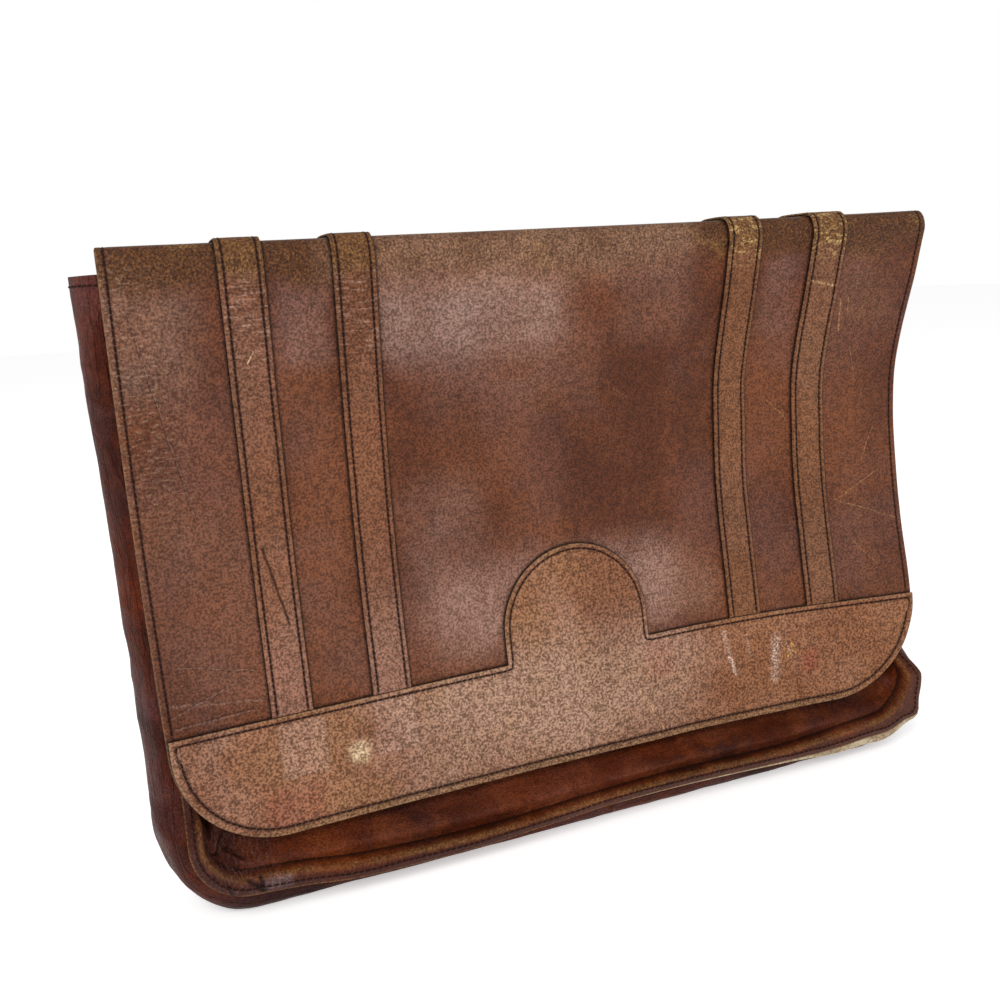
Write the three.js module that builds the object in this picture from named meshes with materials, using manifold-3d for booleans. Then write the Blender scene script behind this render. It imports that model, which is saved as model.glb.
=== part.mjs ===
// Leather document case: a back panel that runs on over the top as a full front flap, four
// applied strips, a bottom band with a round tab, a front panel with a welted edge and a
// gusset in two halves. Millimetres, +Z up, the front faces -Y, x = 0 is the middle.
import * as THREE from "three";
import { mergeVertices } from "three/addons/utils/BufferGeometryUtils.js";
import Module from "manifold-3d";

const wasm = await Module();
wasm.setup();

// Overall sizes
const FLAP_WIDTH = 400;
const CASE_HEIGHT = 298;
const CASE_DEPTH = 46;
const FLAP_END = 34;
const FLAP_DROP = CASE_HEIGHT - FLAP_END;
const FLAP_CORNER = 48;
const FLAP_SINK = 24;
const LEFT_EDGE_BOW = 1.8;

// Leather weights and the clearance between two layers
const FLAP_LEATHER = 2.2;
const TRIM_LEATHER = 1.5;
const PANEL_LEATHER = 1.8;
const GUSSET_LEATHER = 1.5;
const LAYER_GAP = 0.3;
const SEAM_GAP = 0.5;

// The fold over the top: an oval roll in front, a flat top and a round roll behind
const ROLL_HEIGHT = 9;
const ROLL_DEPTH = 6;
const BACK_ROLL = 12;
const BACK_LEAN = 4;
const BACK_BOW = 2;
const BACK_CLEAR = 4;
const BACK_CORNER = 36;

// Trim on the flap
const STRIP_WIDTH = 18.5;
const STRIP_INSET = 54;
const STRIP_PITCH = 47;
const OUTER_STRIP = FLAP_WIDTH / 2 - STRIP_INSET;
const INNER_STRIP = OUTER_STRIP - STRIP_PITCH;
const STRIP_CLEAR = 14;
const BAND_HEIGHT = 56.5;
const TAB_RADIUS = 39.5;
const TAB_RISE = 54;

// Front panel, its welted edge and the gusset
const HEM_DROP = 12;
const PANEL_CLEAR = 2.5;
const GROOVE_INSET = 9.5;
const GROOVE_HEIGHT = 17;
const GROOVE_CORNER = 18;
const GROOVE_SET_BACK = 7;
const BULGE_REACH = 7;
const BULGE_LOSS = 0.6;
const BULGE_POWER = 6;
const FREE_EDGE_DEPTH = -5.5;
const WELT_REACH = 10;
const WELT_SIDE_REACH = 0.77;
const WELT_RISE = 6.4;
const WELT_LIFT = 8;
const EAR_REACH = 5;
const GUSSET_BULGE = 21.5;
const GUSSET_DROP = 10;
const GUSSET_SEAM = 10;

const HALF = FLAP_WIDTH / 2;
const SEAM_DOWN = FLAP_DROP - BAND_HEIGHT;

// How deep the flap lies behind the plane through its four corners, as shares of FLAP_SINK,
// at shares of FLAP_DROP below the top: at both edges, the middle and the quarters between.
const FLAP_FORM = [
  { down: 0.034, left: -0.13, leftMid: 0.12, middle: 0.29, rightMid: 0.35, right: -0.17 },
  { down: 0.115, left: -0.06, leftMid: 0.23, middle: 0.42, rightMid: 0.54, right: 0.06 },
  { down: 0.29, left: 0.13, leftMid: 0.46, middle: 0.79, rightMid: 1.0, right: 0.57 },
  { down: 0.4, left: 0.21, leftMid: 0.54, middle: 0.86, rightMid: 1.02, right: 0.61 },
  { down: 0.51, left: 0.23, leftMid: 0.54, middle: 0.81, rightMid: 0.98, right: 0.48 },
  { down: 0.625, left: 0.17, leftMid: 0.44, middle: 0.67, rightMid: 0.77, right: 0.27 },
  { down: 0.787, left: 0.0, leftMid: 0.25, middle: 0.4, rightMid: 0.44, right: -0.13 },
  { down: 0.87, left: -0.04, leftMid: 0.19, middle: 0.29, rightMid: 0.31, right: -0.15 },
  { down: 1.0, left: -0.08, leftMid: 0.1, middle: 0.19, rightMid: 0.17, right: -0.13 },
];

// The welt waves as it runs along the bottom: its lift as a share of WELT_LIFT and how far
// it reaches out as a share of WELT_REACH, at shares of the width from the left.
const WELT_WAVE = [
  { along: 0, lift: 1.05, reach: 1 },
  { along: 0.06, lift: 1.0, reach: 1 },
  { along: 0.12, lift: 0.75, reach: 0.98 },
  { along: 0.18, lift: 0.3, reach: 0.95 },
  { along: 0.25, lift: 0.06, reach: 0.85 },
  { along: 0.34, lift: -0.06, reach: 0.75 },
  { along: 0.42, lift: 0.06, reach: 0.67 },
  { along: 0.52, lift: 0.3, reach: 0.62 },
  { along: 0.63, lift: 0.37, reach: 0.66 },
  { along: 0.78, lift: 0.25, reach: 0.75 },
  { along: 0.87, lift: 0.55, reach: 1 },
  { along: 0.94, lift: 0.85, reach: 0.9 },
  { along: 1, lift: 1.3, reach: 0.9 },
];

// Welt of the front panel from its groove outwards, as shares of its reach and of WELT_RISE
const WELT_FORM = [
  { name: "brow", out: 0.08, forward: 0.55 },
  { name: "ridge", out: 0.22, forward: 1.0 },
  { name: "skirt", out: 0.6, forward: 1.04 },
  { name: "lip", out: 1.0, forward: 0.94 },
];
const RIDGE = WELT_FORM.find((row) => row.name === "ridge");

// Margin of the gusset that is sewn behind the welt: how far each row lies from the turn
// (0) to the raw edge (1), and its place as a share of WELT_RISE
const MARGIN_FORM = [
  { name: "raw edge", along: 1, forward: 0.9 },
  { name: "seam", along: 0.5, forward: 0.95 },
  { name: "turn", along: 0, forward: 0.72 },
];
const MARGIN_END = 0.92;

// Gusset from front to back: the share of the depth, and how far it stands out from the
// groove line at the sides and underneath, as a share of the full bulge.
const GUSSET_FORM = [
  { across: 0.03, sideOut: 0.34, baseOut: 0.42 },
  { across: 0.045, sideOut: 0.45, baseOut: 0.68 },
  { across: 0.08, sideOut: 0.58, baseOut: 0.88 },
  { across: 0.16, sideOut: 0.74, baseOut: 1 },
  { across: 0.42, sideOut: 0.96, baseOut: 1 },
  { across: 0.66, sideOut: 1, baseOut: 1 },
  { across: 0.86, sideOut: 0.84, baseOut: 1 },
  { across: 0.95, sideOut: 0.62, baseOut: 0.9 },
  { across: 1, sideOut: 0.36, baseOut: 0.7 },
  { across: 1, sideOut: 0.05, baseOut: 0.36 },
];

// Number of steps that each run is divided into
const STEPS = {
  across: 16,
  corner: 6,
  flap: 11,
  roll: 3,
  top: 2,
  back: 7,
  covered: 7,
  free: 4,
  halfTurn: 3,
  base: 12,
  outline: 10,
};

// A smooth curve through table values, with each slope taken from the two neighbours
function curveThrough(stops, values, at) {
  const last = stops.length - 1;
  const place = THREE.MathUtils.clamp(at, stops[0], stops[last]);
  let i = 0;
  while (i < last - 1 && place > stops[i + 1]) i += 1;
  const slope = (k) => {
    const a = Math.max(k - 1, 0);
    const b = Math.min(k + 1, last);
    return (values[b] - values[a]) / (stops[b] - stops[a]);
  };
  const span = stops[i + 1] - stops[i];
  const u = (place - stops[i]) / span;
  const rest = 1 - u;
  return (
    (1 + 2 * u) * rest * rest * values[i] +
    u * rest * rest * span * slope(i) +
    u * u * (3 - 2 * u) * values[i + 1] -
    u * u * rest * span * slope(i + 1)
  );
}

const { smoothstep, lerp } = THREE.MathUtils;

const FLAP_COLUMNS = ["left", "leftMid", "middle", "rightMid", "right"];
const FLAP_STOPS = FLAP_FORM.map((row) => row.down * FLAP_DROP);
const FLAP_VALUES = FLAP_COLUMNS.map((name) => FLAP_FORM.map((row) => row[name] * FLAP_SINK));
const COLUMN_STOPS = FLAP_COLUMNS.map((name, i) => -HALF + (FLAP_WIDTH * i) / (FLAP_COLUMNS.length - 1));

// Depth of the flap's outer face behind its corner plane
function flapDepth(x, down) {
  const row = FLAP_VALUES.map((values) => curveThrough(FLAP_STOPS, values, down));
  return curveThrough(COLUMN_STOPS, row, x);
}

// Depth of the back panel's outer face: it leans in towards the top and bows out lower down
function backDepth(x, z) {
  const height = z / CASE_HEIGHT;
  const middle = Math.cos((x / HALF) * (Math.PI / 2));
  return CASE_DEPTH - BACK_LEAN * height * height + BACK_BOW * middle * Math.sin(Math.PI * height);
}

const FLAP_RUN = FLAP_DROP - ROLL_HEIGHT;
const ROLL_RUN = (Math.PI / 4) * (ROLL_HEIGHT + ROLL_DEPTH);
const TOP_RUN = CASE_DEPTH - ROLL_DEPTH - BACK_ROLL;
const BACK_ROLL_RUN = (Math.PI / 2) * BACK_ROLL;
const BACK_RUN = CASE_HEIGHT - BACK_ROLL - BACK_CLEAR;
const FOLD_START = FLAP_RUN + ROLL_RUN;
const BACK_START = FOLD_START + TOP_RUN;
const PANEL_START = BACK_START + BACK_ROLL_RUN;
const FULL_RUN = PANEL_START + BACK_RUN;

// A point of the outer face, by its x and the run from the flap's lower edge up, over the
// fold and down the back
function casePoint(x, run) {
  if (run <= FLAP_RUN) {
    const down = FLAP_DROP - run;
    return new THREE.Vector3(x, flapDepth(x, down), CASE_HEIGHT - down);
  }
  const front = flapDepth(x, ROLL_HEIGHT);
  if (run <= FOLD_START) {
    const turn = ((run - FLAP_RUN) / ROLL_RUN) * (Math.PI / 2);
    const y = front + ROLL_DEPTH * (1 - Math.cos(turn));
    return new THREE.Vector3(x, y, CASE_HEIGHT - ROLL_HEIGHT * (1 - Math.sin(turn)));
  }
  const rollTop = backDepth(x, CASE_HEIGHT - BACK_ROLL) - BACK_ROLL;
  if (run <= BACK_START) {
    const y = lerp(front + ROLL_DEPTH, rollTop, (run - FOLD_START) / TOP_RUN);
    return new THREE.Vector3(x, y, CASE_HEIGHT);
  }
  if (run <= PANEL_START) {
    const turn = ((run - BACK_START) / BACK_ROLL_RUN) * (Math.PI / 2);
    const y = rollTop + BACK_ROLL * Math.sin(turn);
    return new THREE.Vector3(x, y, CASE_HEIGHT - BACK_ROLL * (1 - Math.cos(turn)));
  }
  const z = CASE_HEIGHT - BACK_ROLL - (run - PANEL_START);
  return new THREE.Vector3(x, backDepth(x, z), z);
}

// Outward normal of that face, from its slopes along x and along the run
function caseNormal(x, run) {
  const step = 0.5;
  const alongX = casePoint(x + step, run).sub(casePoint(x - step, run));
  const alongRun = casePoint(x, run + step).sub(casePoint(x, run - step));
  return alongX.cross(alongRun).normalize();
}

function raisedPoint(x, run, rise) {
  return casePoint(x, run).addScaledVector(caseNormal(x, run), rise);
}

// Evenly spaced values from one end to the other, both included
function evenly(from, to, steps) {
  return Array.from({ length: steps + 1 }, (_, i) => lerp(from, to, i / steps));
}

// Heights above a straight lower edge at which a rounded corner is divided
function cornerHeights(radius) {
  return evenly(0, Math.PI / 2, STEPS.corner).map((turn) => radius * (1 - Math.cos(turn)));
}

// How far a corner of this radius stands in from the side, at a height above the lower edge
function cornerInset(height, radius) {
  const left = Math.max(radius - height, 0);
  return radius - Math.sqrt(radius * radius - left * left);
}

// A sheet of quads through rows of points, its normal along (first column) x (next row)
function gridSheet(rows) {
  const width = rows[0].length;
  const quads = [];
  for (let i = 0; i + 1 < rows.length; i += 1) {
    for (let j = 0; j + 1 < width; j += 1) {
      const a = i * width + j;
      quads.push([a, a + 1, a + width + 1, a + width]);
    }
  }
  return { points: rows.flat(), quads };
}

// The same sheet seen from its other face
function flipped(sheet) {
  return { points: sheet.points, quads: sheet.quads.map((quad) => [...quad].reverse()) };
}

function sheetNormals({ points, quads }) {
  const normals = points.map(() => new THREE.Vector3());
  for (const [a, b, c, d] of quads) {
    const across = points[c].clone().sub(points[a]);
    const face = across.cross(points[d].clone().sub(points[b]));
    for (const corner of [a, b, c, d]) normals[corner].add(face);
  }
  return normals.map((normal) => normal.normalize());
}

// A closed wall of leather: the sheet is its outer face, the inner face lies one thickness
// behind it, and every open edge gets a cut edge.
function leatherWall(sheet, thickness) {
  const normals = sheetNormals(sheet);
  const count = sheet.points.length;
  const inner = sheet.points.map((point, i) => point.clone().addScaledVector(normals[i], -thickness));
  const quads = [];
  const edges = new Map();
  for (const quad of sheet.quads) {
    quads.push(quad);
    quads.push([...quad].reverse().map((corner) => corner + count));
    quad.forEach((from, k) => {
      const to = quad[(k + 1) % quad.length];
      if (!edges.delete(`${to} ${from}`)) edges.set(`${from} ${to}`, [from, to]);
    });
  }
  for (const [from, to] of edges.values()) quads.push([to, from, from + count, to + count]);
  return quadGeometry([...sheet.points, ...inner], quads);
}

function quadGeometry(points, quads) {
  const geometry = new THREE.BufferGeometry().setFromPoints(points);
  geometry.setIndex(quads.flatMap(([a, b, c, d]) => [a, b, c, a, c, d]));
  return geometry;
}

function toSolid(geometry) {
  const bare = geometry.clone();
  bare.deleteAttribute("normal");
  bare.deleteAttribute("uv");
  const merged = mergeVertices(bare, 1e-4);
  const mesh = new wasm.Mesh({
    numProp: 3,
    vertProperties: merged.attributes.position.array,
    triVerts: new Uint32Array(merged.index.array),
  });
  return new wasm.Manifold(mesh);
}

function fromSolid(solid) {
  const { vertProperties, triVerts } = solid.getMesh();
  const geometry = new THREE.BufferGeometry();
  geometry.setAttribute("position", new THREE.BufferAttribute(vertProperties, 3));
  geometry.setIndex(new THREE.BufferAttribute(triVerts, 1));
  return geometry;
}

// Runs at which the flap is divided: close rows in its round corners, even ones above
const FLAP_ROWS = [
  ...cornerHeights(FLAP_CORNER),
  ...evenly(FLAP_CORNER, FLAP_RUN, STEPS.flap).slice(1),
];

// Back panel and flap, one hide: rows from the flap's round corners to those of the back
function backAndFlap() {
  const runs = [
    ...FLAP_ROWS,
    ...evenly(FLAP_RUN, FOLD_START, STEPS.roll).slice(1),
    ...evenly(FOLD_START, BACK_START, STEPS.top).slice(1),
    ...evenly(BACK_START, PANEL_START, STEPS.roll).slice(1),
    ...evenly(PANEL_START, FULL_RUN - BACK_CORNER, STEPS.back).slice(1),
    ...cornerHeights(BACK_CORNER).map((height) => FULL_RUN - height).reverse().slice(1),
  ];
  const rows = runs.map((run) => {
    const inset = cornerInset(run, FLAP_CORNER) + cornerInset(FULL_RUN - run, BACK_CORNER);
    const bow = LEFT_EDGE_BOW * Math.sin(Math.PI * Math.min(run / FLAP_RUN, 1));
    return evenly(-HALF + inset - bow, HALF - inset, STEPS.across).map((x) => casePoint(x, run));
  });
  return leatherWall(gridSheet(rows), FLAP_LEATHER);
}

// One strip, from the band's upper edge over the fold and down the back
function strip(middle) {
  const from = BAND_HEIGHT + LAYER_GAP;
  const runs = [
    from,
    ...FLAP_ROWS.filter((run) => run > from + 1),
    ...evenly(FLAP_RUN, FOLD_START, STEPS.roll).slice(1),
    ...evenly(FOLD_START, BACK_START, STEPS.top).slice(1),
    ...evenly(BACK_START, PANEL_START, STEPS.roll).slice(1),
    ...evenly(PANEL_START, FULL_RUN - STRIP_CLEAR, STEPS.back).slice(1),
  ];
  const rise = LAYER_GAP + TRIM_LEATHER;
  const xs = evenly(middle - STRIP_WIDTH / 2, middle + STRIP_WIDTH / 2, 2);
  const rows = runs.map((run) => xs.map((x) => raisedPoint(x, run, rise)));
  return leatherWall(gridSheet(rows), TRIM_LEATHER);
}

// The band's outline in x and z: flap corners below, the round tab in the middle above
function bandOutline() {
  const bottom = CASE_HEIGHT - FLAP_DROP;
  const seam = CASE_HEIGHT - SEAM_DOWN;
  const tabCentre = seam + TAB_RISE - TAB_RADIUS;
  const shape = new THREE.Shape();
  shape.moveTo(-HALF + FLAP_CORNER, bottom);
  shape.lineTo(HALF - FLAP_CORNER, bottom);
  shape.absarc(HALF - FLAP_CORNER, bottom + FLAP_CORNER, FLAP_CORNER, -Math.PI / 2, 0, false);
  shape.lineTo(HALF, seam);
  shape.lineTo(TAB_RADIUS, seam);
  shape.absarc(0, tabCentre, TAB_RADIUS, 0, Math.PI, false);
  shape.lineTo(-TAB_RADIUS, seam);
  shape.lineTo(-HALF, seam);
  shape.absarc(-HALF + FLAP_CORNER, bottom + FLAP_CORNER, FLAP_CORNER, Math.PI, 1.5 * Math.PI, false);
  return shape;
}

// The band: a slab of leather laid on the flap, cut to its outline
function flapBand() {
  const overlap = 4;
  const reach = FLAP_ROWS.findIndex((run) => run > BAND_HEIGHT + TAB_RISE + overlap);
  const columns = [-HALF - overlap, ...evenly(-HALF, HALF, STEPS.across), HALF + overlap];
  const rows = [-overlap, ...FLAP_ROWS.slice(1, reach + 1)].map((run) =>
    columns.map((x) => raisedPoint(x, run, LAYER_GAP + TRIM_LEATHER)),
  );
  const slab = toSolid(leatherWall(gridSheet(rows), TRIM_LEATHER));
  const cutter = new THREE.ExtrudeGeometry(bandOutline(), {
    depth: 4 * FLAP_SINK,
    bevelEnabled: false,
    curveSegments: STEPS.outline,
  });
  cutter.rotateX(Math.PI / 2);
  cutter.translate(0, 2 * FLAP_SINK, 0);
  return fromSolid(slab.intersect(toSolid(cutter)));
}

const WAVE_STOPS = WELT_WAVE.map((row) => -HALF + row.along * FLAP_WIDTH);
const WAVE_LIFTS = WELT_WAVE.map((row) => row.lift * WELT_LIFT);
const WAVE_REACHES = WELT_WAVE.map((row) => row.reach * WELT_REACH);

// How much the welt's line is lifted: fully along the bottom, fading out up the sides
function weltLift(x, z) {
  const fade = 1 - smoothstep(z, GROOVE_HEIGHT + GROOVE_CORNER, GROOVE_HEIGHT + 4 * GROOVE_CORNER);
  return curveThrough(WAVE_STOPS, WAVE_LIFTS, x) * fade;
}

// Heights between which the front panel's edge comes out from behind the flap's corner
const FREE_BELOW = FLAP_END + 0.01 * FLAP_CORNER;
const HIDDEN_ABOVE = FLAP_END + 0.3 * FLAP_CORNER;

// Depth of the groove along the front panel's edge: free at the bottom, behind the flap above
function grooveDepth(side, z) {
  const flap = flapDepth(side * HALF, CASE_HEIGHT - z);
  const behindFlap = flap + FLAP_LEATHER + PANEL_CLEAR + GROOVE_SET_BACK;
  return lerp(FREE_EDGE_DEPTH, behindFlap, smoothstep(z, FREE_BELOW, HIDDEN_ABOVE));
}

// A place on the groove line: its point, its outward normal in x and z, how much it belongs
// to the bottom (1) rather than to a side (0), how much longer a depth is there than the
// distance between two layers, and how far the welt, the gusset and the corner's ear reach
function groovePlace(x, z, normalX, normalZ) {
  const lift = weltLift(x, z);
  const under = normalZ * normalZ;
  const side = Math.sign(x) || 1;
  const slope = (grooveDepth(side, z + 1) - grooveDepth(side, z - 1)) / 2;
  const earX = (x - (HALF - GROOVE_INSET)) / GROOVE_CORNER;
  const earZ = (z - GROOVE_HEIGHT - GROOVE_CORNER / 2) / GROOVE_CORNER;
  return {
    point: new THREE.Vector3(x, grooveDepth(side, z), z + lift),
    normal: new THREE.Vector3(normalX, 0, normalZ),
    under,
    slant: Math.hypot(1, slope * (1 - under)),
    reach: curveThrough(WAVE_STOPS, WAVE_REACHES, x) * lerp(WELT_SIDE_REACH, 1, under),
    full: lerp(GUSSET_BULGE, GROOVE_HEIGHT + lift, under),
    ear: EAR_REACH * Math.exp(-earX * earX - earZ * earZ),
  };
}

// Half of the groove line, from the hem down one side, round the corner and along the
// bottom to an end: the corner is divided on both sides of its middle
function halfGroove(side, end, baseSteps, topDrop) {
  const edge = HALF - GROOVE_INSET;
  const top = CASE_HEIGHT - topDrop;
  const centreX = edge - GROOVE_CORNER;
  const centreZ = GROOVE_HEIGHT + GROOVE_CORNER;
  const heights = [
    ...evenly(top, HIDDEN_ABOVE, STEPS.covered),
    ...evenly(HIDDEN_ABOVE, centreZ, STEPS.free).slice(1),
  ];
  const places = heights.map((z) => groovePlace(side * edge, z, side, 0));
  for (const turn of evenly(0, Math.PI / 2, 2 * STEPS.halfTurn).slice(1)) {
    const normalX = side * Math.cos(turn);
    const normalZ = -Math.sin(turn);
    const x = side * centreX + GROOVE_CORNER * normalX;
    const flat = turn > Math.PI / 2 - 1e-6;
    places.push(
      groovePlace(x, centreZ + GROOVE_CORNER * normalZ, flat ? 0 : normalX, flat ? -1 : normalZ),
    );
  }
  for (const x of evenly(side * centreX, end, baseSteps).slice(1)) {
    places.push(groovePlace(x, GROOVE_HEIGHT, 0, -1));
  }
  return places;
}

// A point outside the groove line, by its distance out and its depth against the groove
function outsideGroove(place, out, depth) {
  return place.point.clone().addScaledVector(place.normal, out).add(new THREE.Vector3(0, depth, 0));
}

// How far out a row of the welt stands, and a row of the margin that lies behind it
function weltOut(place, share) {
  return share * (place.reach + place.ear);
}

function marginOut(place, along) {
  const turn = weltOut(place, RIDGE.out) + PANEL_LEATHER + SEAM_GAP + GUSSET_LEATHER;
  return lerp(turn, Math.max(weltOut(place, MARGIN_END), turn + SEAM_GAP), along);
}

// Depth of the front panel inside its groove: it follows the flap, then swells out below it
function panelDepth(x, z) {
  const edge = HALF - GROOVE_INSET;
  const cover = flapDepth(x, CASE_HEIGHT - z) + FLAP_LEATHER + PANEL_CLEAR;
  const open = 1 - smoothstep(z, FLAP_END - 1.5 * BULGE_REACH, FLAP_END - PANEL_CLEAR);
  const inner = lerp(cover, -BULGE_REACH, open * (1 - BULGE_LOSS * Math.pow(Math.abs(x) / edge, BULGE_POWER)));
  const side = grooveDepth(Math.sign(x) || 1, z);
  const fromSide = smoothstep(edge - Math.abs(x), 0, 0.4 * GROOVE_CORNER);
  const fromBase = smoothstep(z - GROOVE_HEIGHT - weltLift(x, z), 0, BULGE_REACH);
  return lerp(side, inner, Math.min(fromSide, fromBase));
}

// Front panel: a patch inside the groove line, with the welt's rings round three sides
function frontPanel() {
  const left = halfGroove(-1, 0, STEPS.base / 2, HEM_DROP);
  const right = halfGroove(1, 0, STEPS.base / 2, HEM_DROP);
  const border = [...left, ...right.slice(0, -1).reverse()];
  const down = STEPS.covered + STEPS.free + STEPS.halfTurn;
  const across = border.length - 1 - 2 * down;
  const at = (i) => border[i].point;
  const points = [];
  for (let i = 0; i <= down; i += 1) {
    for (let j = 0; j <= across; j += 1) {
      const u = j / across;
      const v = i / down;
      const mix = (get) =>
        lerp(lerp(get(at(0)), get(at(border.length - 1)), u), get(at(down + j)), v) +
        lerp(get(at(i)), get(at(border.length - 1 - i)), u) -
        lerp(
          lerp(get(at(0)), get(at(border.length - 1)), u),
          lerp(get(at(down)), get(at(down + across)), u),
          v,
        );
      const x = mix((p) => p.x);
      const z = mix((p) => p.z);
      const onBorder = j === 0 || j === across || i === down;
      points.push(new THREE.Vector3(x, onBorder ? mix((p) => p.y) : panelDepth(x, z), z));
    }
  }
  const width = across + 1;
  const quads = [];
  for (let i = 0; i < down; i += 1) {
    for (let j = 0; j < across; j += 1) {
      const a = i * width + j;
      quads.push([a, a + width, a + width + 1, a + 1]);
    }
  }
  let ring = border.map((place, k) => {
    if (k <= down) return k * width;
    if (k <= down + across) return down * width + (k - down);
    return (border.length - 1 - k) * width + across;
  });
  for (const { out, forward } of WELT_FORM) {
    const next = border.map((place) => {
      points.push(outsideGroove(place, weltOut(place, out), -forward * WELT_RISE));
      return points.length - 1;
    });
    for (let k = 0; k + 1 < border.length; k += 1) {
      quads.push([ring[k], next[k], next[k + 1], ring[k + 1]]);
    }
    ring = next;
  }
  return leatherWall({ points, quads }, PANEL_LEATHER);
}

// Half of the gusset: the margin sewn behind the welt, the bulging wall and the margin
// that is turned in behind the back panel
function gusset(side) {
  const end = GUSSET_SEAM + (side * LAYER_GAP) / 2;
  const places = halfGroove(side, end, STEPS.base / 2, GUSSET_DROP);
  const seat = PANEL_LEATHER + SEAM_GAP + GUSSET_LEATHER;
  const rows = MARGIN_FORM.map(({ along, forward }) =>
    places.map((place) =>
      outsideGroove(place, marginOut(place, along), seat * place.slant - forward * WELT_RISE),
    ),
  );
  for (const { across, sideOut, baseOut } of GUSSET_FORM) {
    rows.push(
      places.map((place) => {
        const inside = backDepth(place.point.x, place.point.z) - FLAP_LEATHER - SEAM_GAP;
        const share = lerp(sideOut, baseOut, place.under);
        const ear = place.ear * Math.max(1 - 4 * across, 0) * (1 - share);
        return outsideGroove(place, share * place.full + ear, across * (inside - place.point.y));
      }),
    );
  }
  const sheet = gridSheet(rows);
  return leatherWall(side < 0 ? flipped(sheet) : sheet, GUSSET_LEATHER);
}

const FINISHES = {
  flap: { color: 0x6e4632, roughness: 0.5 },
  strip: { color: 0x7d5a3e, roughness: 0.55 },
  band: { color: 0x966e55, roughness: 0.75 },
  panel: { color: 0x70381c, roughness: 0.42 },
  gusset: { color: 0x5f2d16, roughness: 0.4 },
};

function leather(name) {
  return new THREE.MeshStandardMaterial({ ...FINISHES[name], metalness: 0 });
}

function piece(name, geometry, finish) {
  const mesh = new THREE.Mesh(geometry, leather(finish));
  mesh.name = name;
  return mesh;
}

const documentCase = new THREE.Group();
documentCase.add(piece("back_and_flap", backAndFlap(), "flap"));
documentCase.add(piece("flap_band", flapBand(), "band"));
documentCase.add(piece("strip_left_outer", strip(-OUTER_STRIP), "strip"));
documentCase.add(piece("strip_left_inner", strip(-INNER_STRIP), "strip"));
documentCase.add(piece("strip_right_inner", strip(INNER_STRIP), "strip"));
documentCase.add(piece("strip_right_outer", strip(OUTER_STRIP), "strip"));
documentCase.add(piece("front_panel", frontPanel(), "panel"));
documentCase.add(piece("gusset_left", gusset(-1), "gusset"));
documentCase.add(piece("gusset_right", gusset(1), "gusset"));

// The origin is the middle of the case's footprint on the floor
const extent = new THREE.Box3().setFromObject(documentCase);
documentCase.position.set(0, -(extent.min.y + extent.max.y) / 2, -extent.min.z);

export default documentCase;
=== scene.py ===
"""Visual model of the leather document case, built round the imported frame.

The case is one hide that makes the back panel and, over the top, the full front flap. Four
strips and a band with a round tab are sewn on the flap. Under it lie the front panel with
its turned welt and a gusset in two halves. All sizes are in millimetres until a mesh is
made, with x to the right, y as the depth behind the flap's corners and z up.
"""

import logging
import math
from dataclasses import dataclass
from enum import Enum
from typing import Callable

import bpy
import numpy as np
from mathutils import Matrix, Vector
from mathutils.geometry import delaunay_2d_cdt


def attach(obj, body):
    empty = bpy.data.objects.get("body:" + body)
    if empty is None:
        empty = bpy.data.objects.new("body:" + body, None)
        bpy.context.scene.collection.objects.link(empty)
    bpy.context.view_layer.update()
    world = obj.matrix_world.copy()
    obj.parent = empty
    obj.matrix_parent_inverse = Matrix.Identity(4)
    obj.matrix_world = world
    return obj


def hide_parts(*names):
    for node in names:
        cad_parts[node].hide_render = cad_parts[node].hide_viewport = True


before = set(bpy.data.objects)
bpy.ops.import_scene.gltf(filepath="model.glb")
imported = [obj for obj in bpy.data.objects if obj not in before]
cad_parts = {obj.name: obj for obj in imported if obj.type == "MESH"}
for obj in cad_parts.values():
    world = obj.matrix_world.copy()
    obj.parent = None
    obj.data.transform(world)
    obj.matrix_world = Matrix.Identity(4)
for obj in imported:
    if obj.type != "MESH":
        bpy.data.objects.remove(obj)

log = logging.getLogger("document_case")

MM = 0.001
ROW_SHIFT = -18.26
BODY = "root"
HIDE_UV = "hide"
EDGE_ATTRIBUTE = "edge_mm"
RIDGE_ATTRIBUTE = "ridge_mm"


class Side(Enum):
    """Which half of the case a piece belongs to, as seen from the front."""

    LEFT = -1
    RIGHT = 1


@dataclass(frozen=True)
class CaseSizes:
    """Sizes of the case in millimetres, the same as the frame's."""

    width: float = 400.0
    height: float = 298.0
    depth: float = 46.0
    flap_end: float = 34.0
    flap_corner: float = 48.0
    flap_sink: float = 24.0
    left_bow: float = 1.8
    roll_height: float = 9.0
    roll_depth: float = 6.0
    back_roll: float = 12.0
    back_lean: float = 4.0
    back_bow: float = 2.0
    back_clear: float = 4.0
    back_corner: float = 36.0
    hide_leather: float = 2.2
    trim_leather: float = 1.5
    panel_leather: float = 1.8
    gusset_leather: float = 1.5
    layer_gap: float = 0.3
    seam_gap: float = 0.5
    hem_drop: float = 12.0
    panel_clear: float = 2.5
    groove_inset: float = 9.5
    groove_height: float = 17.0
    groove_corner: float = 18.0
    groove_set_back: float = 7.0
    bulge_reach: float = 7.0
    bulge_loss: float = 0.6
    bulge_power: float = 6.0
    free_depth: float = -5.5
    welt_reach: float = 10.0
    welt_side_reach: float = 0.77
    welt_rise: float = 6.4
    welt_lift: float = 8.0
    ear_reach: float = 5.6
    tip_reach: float = 5.0
    gusset_bulge: float = 21.5
    gusset_drop: float = 10.0
    gusset_seam: float = 10.0

    @property
    def half(self) -> float:
        """Half of the width."""
        return self.width / 2

    @property
    def flap_drop(self) -> float:
        """Height of the flap from its fold to its lower edge."""
        return self.height - self.flap_end


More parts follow.
